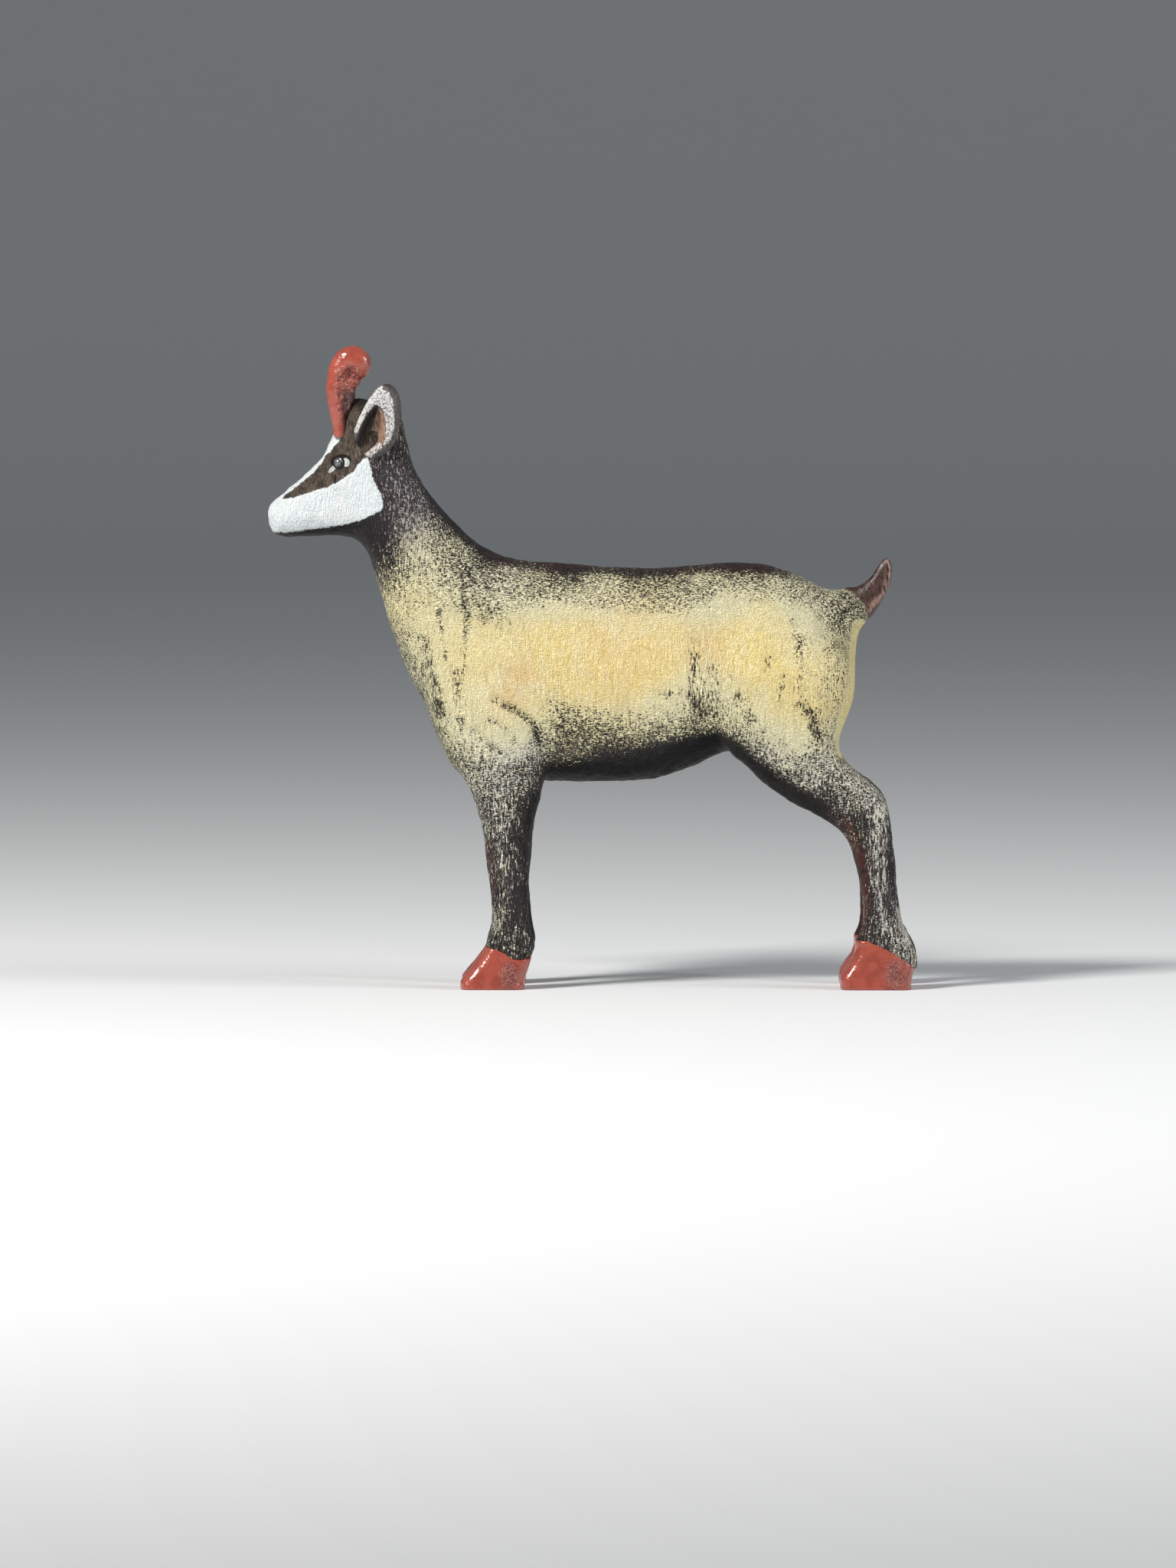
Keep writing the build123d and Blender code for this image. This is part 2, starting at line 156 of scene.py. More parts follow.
def smooth_curve(points, closed=True, steps=8):
    """Points along a smooth curve through the given points (a uniform Catmull-Rom spline)."""
    p = np.array(points, float)
    if closed:
        p = np.vstack([p[-1], p, p[:2]])
    else:
        p = np.vstack([2 * p[0] - p[1], p, 2 * p[-1] - p[-2]])
    t = np.linspace(0, 1, steps, endpoint=False)[:, None]
    spans = []
    for a, b, c, d in zip(p[:-3], p[1:-2], p[2:-1], p[3:]):
        bend = (2 * a - 5 * b + 4 * c - d) * t**2 + (3 * b - a - 3 * c + d) * t**3
        spans.append(0.5 * (2 * b + (c - a) * t + bend))
    curve = np.vstack(spans)
    return curve if closed else np.vstack([curve, points[-1]])


def distance_to_path(x, z, path):
    """Distance from each (x, z) to a path of straight pieces."""
    nearest = np.full(np.shape(x), 1e9)
    for (ax, az), (bx, bz) in zip(path[:-1], path[1:]):
        dx, dz = bx - ax, bz - az
        share = ((x - ax) * dx + (z - az) * dz) / max(dx * dx + dz * dz, 1e-12)
        share = np.clip(share, 0, 1)
        nearest = np.minimum(nearest, (x - ax - share * dx) ** 2 + (z - az - share * dz) ** 2)
    return np.sqrt(nearest)


def depth_inside(x, z, outline, steps=8):
    """Distance from each (x, z) to a smooth closed outline, positive inside it."""
    ring = smooth_curve(outline, steps=steps)
    ring = np.vstack([ring, ring[:1]])
    inside = np.zeros(np.shape(x), bool)
    for (ax, az), (bx, bz) in zip(ring[:-1], ring[1:]):
        if az != bz:
            crosses = (az > z) != (bz > z)
            inside ^= crosses & (x < (bx - ax) * (z - az) / (bz - az) + ax)
    distance = distance_to_path(x, z, ring)
    return np.where(inside, distance, -distance)


def blend_spots(x, z, spots, reach):
    """A smooth blend of values stated at a few places (x, z)."""
    total = np.zeros(np.shape(x))
    weight = np.full(np.shape(x), 1e-9)
    for sx, sz, value in spots:
        square = (x - sx) ** 2 + (z - sz) ** 2
        w = np.exp(-square / (2 * reach**2)) + 1e-6 / (1 + square)
        total += w * value
        weight += w
    return total / weight


def smooth_min(a, b, width):
    """The lesser of two fields, with a fillet of about the given width."""
    h = np.clip(0.5 + 0.5 * (b - a) / width, 0, 1)
    return b * (1 - h) + a * h - width * h * (1 - h)


def smooth_max(a, b, width):
    """The greater of two fields, with a fillet of about the given width."""
    return -smooth_min(-a, -b, width)


def rounded_board(depth, y, half_width, rounding, power=2.3):
    """Field of a board cut to an outline and rounded over; negative inside."""
    edge = np.clip(1 - depth / rounding, 0, None)
    across = np.abs(y) / half_width
    return ((edge**power + across**power) ** (1 / power) - 1) * half_width


def value_noise(points, seed):
    """Smooth noise from -1 to 1 that changes over a distance of about 1."""
    size = 32
    table = np.random.RandomState(seed).rand(size, size, size) * 2 - 1
    cell = np.floor(points).astype(int)
    f = points - cell
    f = f * f * (3 - 2 * f)
    result = np.zeros(len(points))
    for corner in np.ndindex(2, 2, 2):
        weight = np.prod([f[:, i] if c else 1 - f[:, i] for i, c in enumerate(corner)], axis=0)
        at = (cell + corner) % size
        result += weight * table[at[:, 0], at[:, 1], at[:, 2]]
    return result


def grid(low, high, step):
    """Coordinates of a box of points. X and Z cover its side, and broadcast with Y."""
    x, y, z = (np.arange(a, b + step, step) for a, b in zip(low, high))
    x, z = np.broadcast_arrays(x[:, None, None], z[None, None, :])
    return x, y[None, :, None], z


def surface_net(field, low, step):
    """Vertices and quads of the closed surface where a field of values crosses zero."""
    inside = field < 0
    shape = np.array(field.shape) - 1
    corners = list(np.ndindex(2, 2, 2))
    count = sum(
        inside[a : a + shape[0], b : b + shape[1], c : c + shape[2]].astype(np.int8)
        for a, b, c in corners
    )
    cells = np.argwhere((count > 0) & (count < 8))
    values = {c: field[tuple((cells + c).T)] for c in corners}
    total = np.zeros((len(cells), 3))
    crossings = np.zeros(len(cells))
    for c in corners:
        for axis in range(3):
            if c[axis]:
                continue
            d = tuple(v + (i == axis) for i, v in enumerate(c))
            change = (values[c] < 0) != (values[d] < 0)
            at = np.array([c] * len(cells), float)
            at[:, axis] += np.where(change, values[c] / (values[c] - values[d] + 1e-30), 0)
            total[change] += at[change]
            crossings[change] += 1
    vertices = np.array(low) + (cells + total / crossings[:, None]) * step
    number = np.full(shape, -1)
    number[tuple(cells.T)] = np.arange(len(cells))
    quads = []
    for axis in range(3):
        u, v = [i for i in range(3) if i != axis]
        upper = np.take(inside, range(1, inside.shape[axis]), axis)
        lower = np.take(inside, range(inside.shape[axis] - 1), axis)
        edges = np.argwhere(upper != lower)
        edges = edges[(edges[:, u] > 0) & (edges[:, v] > 0)]
        edges = edges[(edges[:, u] < shape[u]) & (edges[:, v] < shape[v])]
        ring = []
        for du, dv in ((-1, -1), (0, -1), (0, 0), (-1, 0)):
            at = edges.copy()
            at[:, u] += du
            at[:, v] += dv
            ring.append(number[tuple(at.T)])
        ring = np.array(ring).T
        outward = lower[tuple(edges.T)] if axis != 1 else ~lower[tuple(edges.T)]
        quads.append(np.where(outward[:, None], ring, ring[:, ::-1]))
    return vertices, np.vstack(quads)


def add_object(name, data):
    """A new object in the scene."""
    thing = bpy.data.objects.new(name, data)
    bpy.context.scene.collection.objects.link(thing)
    return thing


def new_mesh(name, vertices, faces):
    """A mesh object from vertices and faces, in this file's millimetres."""
    mesh = bpy.data.meshes.new(name)
    mesh.from_pydata(np.asarray(vertices).tolist(), [], np.asarray(faces, dtype=object).tolist())
    mesh.update()
    return add_object(name, mesh)


def spin(profile, count):
    """Vertices and faces of a profile of (radius, height), starting at radius 0, turned about Z."""
    vertices = []
    for radius, height in profile:
        for angle in np.arange(count if radius else 1) * 2 * np.pi / count:
            vertices.append((radius * np.cos(angle), radius * np.sin(angle), height))
    rings = sum(radius > 0 for radius, _ in profile)
    last = 1 + (rings - 1) * count
    faces = []
    for k in range(count):
        m = (k + 1) % count
        faces.append((0, 1 + k, 1 + m))
        for a in range(1, last, count):
            b = a + count
            faces.append((a + k, b + k, b + m, a + m))
        if not profile[-1][0]:
            faces.append((last + count, last + m, last + k))
    return np.array(vertices), faces


def vectors(source, name):
    """The vectors that a mesh keeps for its vertices, as an array."""
    values = np.zeros(len(source) * 3, np.float32)
    source.foreach_get(name, values)
    return values.reshape(-1, 3).astype(float)


def skin(piece):
    """The vertices of a piece and their normals."""
    return vectors(piece.data.vertices, "co"), vectors(piece.data.vertex_normals, "vector")


def set_coordinates(piece, points):
    """Moves the vertices of a piece."""
    piece.data.vertices.foreach_set("co", points.astype(np.float32).ravel())
    piece.data.update()


def prism(name, outline, low_y, high_y):
    """A closed block with a side outline that runs clockwise, from one distance across to another."""
    count = len(outline)
    sides = [np.insert(outline, 1, y, axis=1) for y in (low_y, high_y)]
    faces = [list(range(count - 1, -1, -1)), list(range(count, 2 * count))]
    for i in range(count):
        j = (i + 1) % count
        faces.append([j + count, i + count, i, j])
    return new_mesh(name, np.vstack(sides), faces)


def boolean(piece, tool, operation, name):
    """A new piece: the piece with a tool taken away, or kept only inside it."""
    modifier = piece.modifiers.new(operation.lower(), "BOOLEAN")
    modifier.object = tool
    modifier.operation = operation
    modifier.solver = "MANIFOLD"
    evaluated = piece.evaluated_get(bpy.context.evaluated_depsgraph_get())
    mesh = bpy.data.meshes.new_from_object(evaluated)
    piece.modifiers.clear()
    mesh.name = name
    return add_object(name, mesh)


def line_height(x, line):
    """The height at x of a line through points (x, z), level beyond its ends."""
    xs, zs = np.array(line).T
    return np.interp(x, xs, zs)


def place_in_frame(piece, material):
    """Brings a smooth piece of one material from millimetres into the frame's metres."""
    set_coordinates(piece, np.array(CENTRE) + skin(piece)[0] * MM)
    piece.data.shade_smooth()
    piece.data.materials.clear()  # a piece that was cut comes with an empty slot
    piece.data.materials.append(material)


def finish_piece(piece, node, material):
    """Places a piece in the frame, hangs it under the root body and hides the CAD node that it stands
    in for.
    """
    place_in_frame(piece, material)
    piece.data.set_sharp_from_angle(angle=np.radians(SHARP_ANGLE))
    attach(piece, "root")
    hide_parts(node)


# --- the carved animal


def leg_field(x, y, z, outline, widths, hoof_line):
    """Field of both legs of a pair, cut off at the hoof line."""
    heights, *sizes = np.array(widths).T
    middle, half_width, rounding = (np.interp(z, heights, size) for size in sizes)
    leg = rounded_board(depth_inside(x, z, outline), np.abs(y) - middle, half_width, rounding)
    return np.maximum(leg, line_height(x, hoof_line) - z)


def animal_field(x, y, z):
    """Field of trunk, neck, head and legs together, with fillets where they meet."""
    half_width = blend_spots(x, z, BODY_WIDTHS, WIDTH_REACH)
    body = rounded_board(depth_inside(x, z, BODY_OUTLINE), y, half_width, half_width * 1.1)
    fore = leg_field(x, y, z, FORELEG_OUTLINE, FORELEG_WIDTHS, FORE_HOOF_LINE)
    hind = leg_field(x, y, z, HIND_LEG_OUTLINE, HIND_LEG_WIDTHS, HIND_HOOF_LINE)
    return smooth_min(smooth_min(body, fore, FORE_FILLET), hind, HIND_FILLET)


def carve_animal():
    """The whole carved shape as one skin, before it is taken apart along its glue lines."""
    low, high = (-54.5, -13, 1.5), (55, 13, 97)
    return new_mesh("animal", *surface_net(animal_field(*grid(low, high, STEP)), low, STEP))


def take_apart(animal):
    """Cuts the carved shape into the body and four legs along the walls of the leg housings."""
    pieces = {}
    rest = animal
    for pair, cut in (("foreleg", FORELEG_CUT), ("hind_leg", HIND_LEG_CUT)):
        for side, sign in SIDES.items():
            near, far = sorted((sign * GLUE_FACE, sign * OUTSIDE))
            tool = prism("tool", smooth_curve(cut, steps=4), near, far)
            pieces[f"{pair}_{side}"] = boolean(rest, tool, "INTERSECT", f"carved_{pair}_{side}")
            smaller = boolean(rest, tool, "DIFFERENCE", "carved_body")
            bpy.data.objects.remove(tool)
            bpy.data.objects.remove(rest)
            rest = smaller
    rest.name = "carved_body"
    pieces["body"] = rest
    return pieces


# --- how it is painted
# White mask and brown eye patch, closed side outlines on the head as (x, z)
MASK_OUTLINE = [
    (-53.5, 78.6), (-52.6, 80.2), (-47.5, 84.5), (-42.4, 90), (-41.2, 89.9), (-41.3, 89), (-43.3, 86.6),
    (-45.4, 83.9), (-47.7, 81.9), (-50.4, 79.7), (-47.6, 80.3), (-45.3, 80.9), (-42, 82.1),
    (-39.2, 83.9), (-36.8, 86.5), (-36, 84.8), (-35.5, 82.6), (-34.4, 80.5), (-34, 78.3), (-35.5, 77.2),
    (-38.7, 75.8), (-43.1, 75), (-48.2, 74.3), (-51.9, 74.1), (-54, 75.5),
]
BROWN_OUTLINE = [
    (-51, 79.2), (-46, 85), (-42, 91), (-40.5, 96.5), (-33, 97), (-32.6, 91), (-34.6, 87.6),
    (-36.3, 86.3), (-38.5, 83), (-42, 80.5), (-46, 79),
]

# The flank's solid coat of cream, a closed side outline
CREAM_OUTLINE = [
    (-28, 59.5), (-25.4, 60.5), (-23, 60.5), (-20.5, 59), (-17.2, 58.5), (-14, 60.5), (-9.7, 61),
    (-4.1, 61.6), (4.2, 60.4), (12.6, 59.9), (18.2, 61.4), (21, 62.8), (26.6, 62.6), (32.1, 61.6),
    (36.4, 58.9), (37.4, 54), (37.6, 48), (36.8, 42.8), (33.8, 40.4), (29.3, 43.6), (23.8, 46.4),
    (20.8, 47.8), (18.2, 50.2), (15.6, 49), (13.2, 47.4), (9.8, 46.6), (4.2, 46.6), (-2, 48),
    (-6, 49.4), (-9.2, 46.2), (-10.2, 42.6), (-14, 40.6), (-18, 40.8), (-21.2, 43), (-23.6, 47.6),
    (-25.6, 53),
]

# How far beyond that outline the cream thins out, in millimetres, at places (x, z)
FADE_WIDTHS = [
    (-30, 66, 11), (-20, 66, 10), (0, 66, 8.5), (20, 66, 8), (32, 66, 8), (-26, 44, 7), (-17, 36, 12),
    (-5, 42, 9.5), (5, 38, 10.5), (14, 42, 12), (25, 40, 10.5), (40, 50, 10), (38, 38, 13),
]

# How much of the dark ground the dry brush covered away from the flank, from 0 to 1
BRUSH_COVER = [
    (-31.5, 91, 0.3), (-36, 93, 0.22), (-38, 88, 0.26), (-43, 84, 0.2), (-47, 81.5, 0.1),
    (-45, 73.6, 0), (-40, 74, 0.05), (-35.5, 75, 0.05), (-33.5, 86, 0.24), (-32, 81, 0.32),
    (-30.5, 77, 0.38), (-34.5, 71, 0.04), (-32.5, 70, 0.34), (-33.8, 65.5, 0.38), (-31, 64, 0.8),
    (-29.3, 70, 0.8), (-28.6, 74.4, 0.74), (-26, 70, 0.66), (-26, 76.5, 0.42), (-24, 77.5, 0.1),
    (-22.5, 72.5, 0.42), (-20, 68.5, 0.54), (-16.5, 71, 0.08), (-31.6, 56, 0.42), (-29, 51.5, 0.54),
    (-28.4, 46, 0.34), (-24.2, 39, 0.44), (-21, 36, 0.52), (-16, 34.5, 0.52), (-11, 34, 0.46),
    (-8.2, 36.5, 0.1), (-9, 30, 0.04), (-15, 27.5, 0.36), (-18, 29, 0.4), (-10.5, 24, 0.1),
    (-14.5, 22, 0.26), (-17, 20, 0.22), (-14, 15, 0.2), (-11, 14, 0.14), (-15, 9, 0.28),
    (-11.5, 7.5, 0.22), (-3, 37.5, 0.42), (0, 34.4, 0), (10, 38.2, 0.2), (10, 35, 0), (17, 41, 0.44),
    (17.5, 37, 0), (22, 40, 0.4), (24, 36, 0.22), (28, 38.5, 0.32), (30, 33.5, 0.26), (35, 36, 0.54),
    (37.5, 30, 0.24), (42, 33.5, 0.54), (46, 31.5, 0.48), (41.5, 26.5, 0.2), (46, 24, 0.26),
    (43.6, 19, 0.05), (48.6, 20, 0.2), (46.4, 15, 0.26), (44.6, 10, 0.2), (48, 9.5, 0.42),
    (51.2, 6, 0.46), (39.6, 46, 0.76), (40, 62, 0.58), (44, 62.5, 0.45), (40.5, 57, 0.72),
    (35, 66, 0.52), (25, 68.6, 0.14), (10, 67.8, 0.18), (-5, 68.5, 0.14), (10, 65.2, 0.69),
    (-8, 65.8, 0.58), (-20, 64, 0.76), (-16.5, 62, 0.76), (0, 63.6, 0.68), (20, 65, 0.61),
    (-13.5, 66.6, 0.62), (30, 64.8, 0.66),
]

# Hue of the brushed paint: 0 grey-white, 0.5 pale greenish cream, 1 warm cream
PAINT_HUE = [
    (-33, 80, 0), (-30, 72, 0.45), (-28, 62, 0.7), (-30, 52, 0.45), (-20, 68, 0.3), (-20, 55, 0.8),
    (-17, 47, 0.72), (-20, 38, 0.3), (-14, 33, 0.05), (-14, 20, 0), (-14, 8, 0.15), (0, 66.5, 0.42),
    (0, 54, 1), (10, 55, 1), (2, 41, 0.62), (15, 42, 0.5), (20, 66, 0.42), (10, 63.6, 0.6),
    (18.4, 48, 0.5), (26, 55, 1), (33, 46, 0.92), (30, 38, 0.15), (38, 64, 0.35), (40, 52, 0.72),
    (42, 36, 0.15), (46, 25, 0), (48, 8, 0),
]
# Run of the brush: 0 short level strokes, 1 long upright ones
GRAIN = [
    (-33, 85, 1), (-28, 74, 0.8), (-20, 67, 0.1), (0, 66, 0), (20, 66, 0), (36, 63, 0.2), (0, 56, 0.9),
    (20, 54, 1), (33, 52, 0.7), (-20, 50, 0.7), (-5, 42, 0.3), (8, 40, 0.3), (28, 39, 0.5),
    (-15, 35, 0.5), (-14, 22, 1), (-14, 8, 0.8), (42, 34, 0.5), (46, 22, 1), (49, 8, 0.8),
]
ORANGE_SPOTS = [
    (-12, 50.5, 2.6, 0.8), (-14.6, 46.6, 1.8, 0.4), (19, 55.5, 2.6, 0.5), (4, 55.5, 5.5, 0.4),
]
# Dark strokes where the brush left the ground bare, deepened along the carved creases as painted shade:
# (path, half width, strength)
BARE_AND_CREASE_SHADE_STROKES = [
    ([(-15.8, 47), (-12.6, 45.6), (-9.6, 43.2), (-8.6, 40.4)], 0.7, 0.52),
    ([(-16.8, 43.8), (-14.6, 43.2), (-12.6, 40.6)], 0.45, 0.48),
    ([(-19.6, 42.2), (-17.4, 40.2), (-15, 38.6)], 0.5, 0.44),
    ([(-25, 61.4), (-24.2, 57), (-23.8, 53.5)], 0.5, 0.44),
    ([(-20.9, 65), (-20.4, 60), (-20.9, 51.5)], 0.55, 0.42),
    ([(-22.2, 69), (-19.4, 64), (-17.2, 60)], 0.45, 0.22),
    ([(-20.4, 68.4), (-17.6, 63.4), (-15, 58.4)], 0.5, 0.26),
    ([(-18.2, 67.4), (-15.6, 62.8), (-13.4, 59.4)], 0.4, 0.28),
    ([(-22, 51.5), (-21.4, 46), (-21.2, 43)], 0.9, 0.42),
    ([(-27.2, 57), (-25.6, 50), (-24.6, 45)], 0.8, 0.42),
    ([(16.6, 54.5), (16.4, 50), (17.6, 45.5)], 1.6, 0.22),
    ([(16.9, 54.5), (16.2, 50), (16.6, 45.5)], 0.45, 0.2),
    ([(19.6, 52.5), (20.6, 46)], 1.3, 0.25),
    ([(22.6, 51), (23.8, 47.5)], 0.5, 0.24),
    ([(10.6, 48.8), (12.6, 47.8)], 0.8, 0.3),
    ([(12.8, 48.2), (15.4, 48)], 0.6, 0.3),
    ([(24, 47.5), (25.6, 44.5)], 1.2, 0.32),
    ([(34, 46.6), (35.2, 44.6), (36.6, 42)], 1.1, 0.36),
    ([(31, 51), (30.4, 47.5)], 0.6, 0.42),
    ([(40.8, 62), (38.4, 57), (37.6, 51.5), (36.4, 45), (35.8, 39.5)], 2.4, 0.2),
    ([(32.6, 60), (33.4, 56)], 0.9, 0.24),
    ([(29, 54.5), (28, 52)], 0.7, 0.28),
    ([(34.4, 57), (33.4, 49)], 1.2, 0.2),
]
# Pale strokes on the raised ridges of the legs: (path, half width, strength)
LIGHT_STROKES = [
    ([(-15.2, 30), (-14.8, 26), (-14.8, 22), (-14.2, 16), (-15, 11)], 0.9, 0.2),
    ([(-16.4, 13), (-15.4, 8.6)], 0.8, 0.12),
    ([(46.3, 29), (46.1, 22), (46.4, 16), (47.6, 10)], 0.5, 0.32),
    ([(47.4, 30), (47.3, 22), (47.6, 16)], 0.4, 0.34),
    ([(45.2, 26), (45.3, 17)], 0.35, 0.3),
    ([(49.8, 13), (51.4, 7.5)], 0.5, 0.4),
]
VIOLET_SPOTS = [(-31, 84, 4.5, 1), (-31, 77, 4.5, 0.9), (-10.5, 15, 4, 0.6), (48.5, 16, 4, 0.6)]
# Lower edge of the bare dark band along the back, and upper edge of the one under the belly, which is
# bare and also darkened as painted shade
BACK_LINE = [
    (-28, 81.5), (-24.4, 76.6), (-21, 73), (-17, 70.2), (-12, 68.6), (-4, 67.9), (8, 67.3), (17, 67.8),
    (25, 68.2), (30, 67.6), (34.5, 66.2),
]
UNDER_LINE = [
    (-9, 35), (-6, 36.2), (5.6, 38.2), (13.4, 40.4), (19.9, 41.9), (23, 40.6), (26.5, 37.2), (31, 34.2),
    (36, 31.2), (40, 28.6),
]
# Where the dark ground shows red: the front of the hind shanks as (z, x), and of the forelegs
RED_SHANK = [(8, 43.2), (14, 44.2), (20, 44), (27, 41.6), (33, 33)]
RED_FORE_X = -16.6
# Distances over which the values in the tables above blend into each other
FADE_REACH = 6
BRUSH_REACH = 2
GRAIN_REACH = 5
HUE_REACH = 4
SHANK_TOP = 31  # the flank's cream stays above this height
# The solid cream rim down the back of the haunches
RIM_STROKE = [(43.4, 58.8), (42.9, 54), (42.6, 49), (41.2, 44.6), (40.6, 41.5), (41, 38.8)]


def spot_sum(x, z, spots):
    """A sum of soft round spots, each (x, z, radius, strength)."""
    return sum(s * np.exp(-((x - a) ** 2 + (z - b) ** 2) / (2 * r * r)) for a, b, r, s in spots)


def stroke_sum(x, z, strokes):
    """A sum of soft-edged strokes, each (path, half width, strength)."""
    return sum(s * np.exp(-((distance_to_path(x, z, path) / w) ** 2)) for path, w, s in strokes)


def step_up(value, low, high):
    """0 below a low value, 1 above a high one, smooth between."""
    t = np.clip((value - low) / (high - low), 0, 1)
    return t * t * (3 - 2 * t)


def store(piece, name, values):
    """Keeps three numbers per vertex on a piece, for its material to read."""
    attribute = piece.data.attributes.new(name, "FLOAT_VECTOR", "POINT")
    attribute.data.foreach_set("vector", np.stack(values, axis=1).astype(np.float32).ravel())


def paint_coat(piece):
    """Works out, for each vertex, where each paint lies and how thickly it covers."""
    p, n = skin(piece)
    x, y, z = p.T
    wobble = 0.25 * value_noise(p * 0.9, 3) + 0.12 * value_noise(p * 2.6, 4)
    white = depth_inside(x, z, MASK_OUTLINE, 4) + 0.5 * wobble
    brown = depth_inside(x, z, BROWN_OUTLINE, 4) + 0.5 * wobble
    cream = depth_inside(x, z, CREAM_OUTLINE, 4) + 2.2 * wobble
    cover = 1 + cream / blend_spots(x, z, FADE_WIDTHS, FADE_REACH)
    cover = np.clip(cover, 0, 1) ** 1.15 * 0.97
    cover = np.where(z < SHANK_TOP, 0, cover)
    brushed = blend_spots(x, z, BRUSH_COVER, BRUSH_REACH) * step_up(-cream, -1, 3)
    cover = np.maximum(cover, brushed)
    broken = np.clip(0.95 + 0.9 * value_noise(p * 0.75, 7), 0, 1.1)
    # The dark strokes take the cream off; along the carved creases they are painted shade
    cover += stroke_sum(x, z, LIGHT_STROKES) - broken * stroke_sum(x, z, BARE_AND_CREASE_SHADE_STROKES)
    rim = distance_to_path(x, z, RIM_STROKE)
    cover = np.maximum(cover, 1 - step_up(rim, 0.9, 2))
    inner = step_up(-n[:, 1] * np.sign(y), -0.2, 0.5) * step_up(-z, -36, -31)
    cover *= 1 - 0.8 * inner
    # Under the belly the ground is left bare, and the material also darkens this band as painted shade
    low_edge = line_height(x, UNDER_LINE) + wobble - z
    under = step_up(low_edge, -1.6, 1.2) * step_up(x, -9, -7) * step_up(-x, -40, -36)
    cover *= 1 - 0.93 * under
    top_edge = z + 0.8 * wobble - line_height(x, BACK_LINE)
    back = step_up(top_edge, -1, 0.5) * step_up(x, -30, -26) * step_up(-x, -36, -30)
    cover *= 1 - 0.75 * back
    grain = blend_spots(x, z, GRAIN, GRAIN_REACH)
    hue = blend_spots(x, z, PAINT_HUE, HUE_REACH)
    hue = np.where(rim < 2, np.maximum(hue, 1 - 0.3 * rim), hue)
    warm = spot_sum(x, z, ORANGE_SPOTS)
    violet = spot_sum(x, z, VIOLET_SPOTS)
    heights, fronts = np.array(RED_SHANK).T
    shank = np.interp(z, heights, fronts)
    red = np.exp(-(((x - shank) / 1.1) ** 2)) * step_up(z, 6, 12) * step_up(-z, -31, -26)
    red += 0.25 * step_up(z, 66.8, 68.4) * step_up(x, -20, -14)
    red += 0.7 * np.exp(-(((x - RED_FORE_X) / 0.8) ** 2)) * step_up(z, 12, 16) * step_up(-z, -27, -23)
    store(piece, "brush", (np.clip(cover, 0, 1), hue, np.clip(warm, 0, 1)))
    store(piece, "ground", (np.clip(violet, 0, 1), np.clip(red, 0, 1), grain))
    store(piece, "mask", (white, brown, np.clip(under, 0, 1)))


# --- the materials
WHITE = (0.71, 0.76, 0.77)
GREY_WHITE = (0.74, 0.72, 0.66)
PALE_CREAM = (0.84, 0.79, 0.51)
WARM_CREAM = (0.95, 0.76, 0.31)
ORANGE = (0.9, 0.6, 0.27)
DARK_GROUND = (0.008, 0.006, 0.006)
VIOLET_GROUND = (0.026, 0.019, 0.024)
RED_GROUND = (0.095, 0.026, 0.019)
BROWN_PATCH = (0.125, 0.092, 0.07)
VIOLET_FILM = (0.3, 0.27, 0.29)
WORN_GROUND = (0.027, 0.02, 0.019)
BELLY_SHADE_BLACK = (0.004, 0.003, 0.003)
DEEP_BROWN = (0.05, 0.036, 0.03)
OLIVE_HAIR = (0.22, 0.19, 0.15)
CROWN_SHADE_BLACK = (0.018, 0.013, 0.012)
LID_BLACK = (0.018, 0.014, 0.013)
SOCKET_BLACK = (0.01, 0.008, 0.008)
CHALK_GREY = (0.7, 0.75, 0.76)
CHALK_WARM = (0.85, 0.8, 0.77)


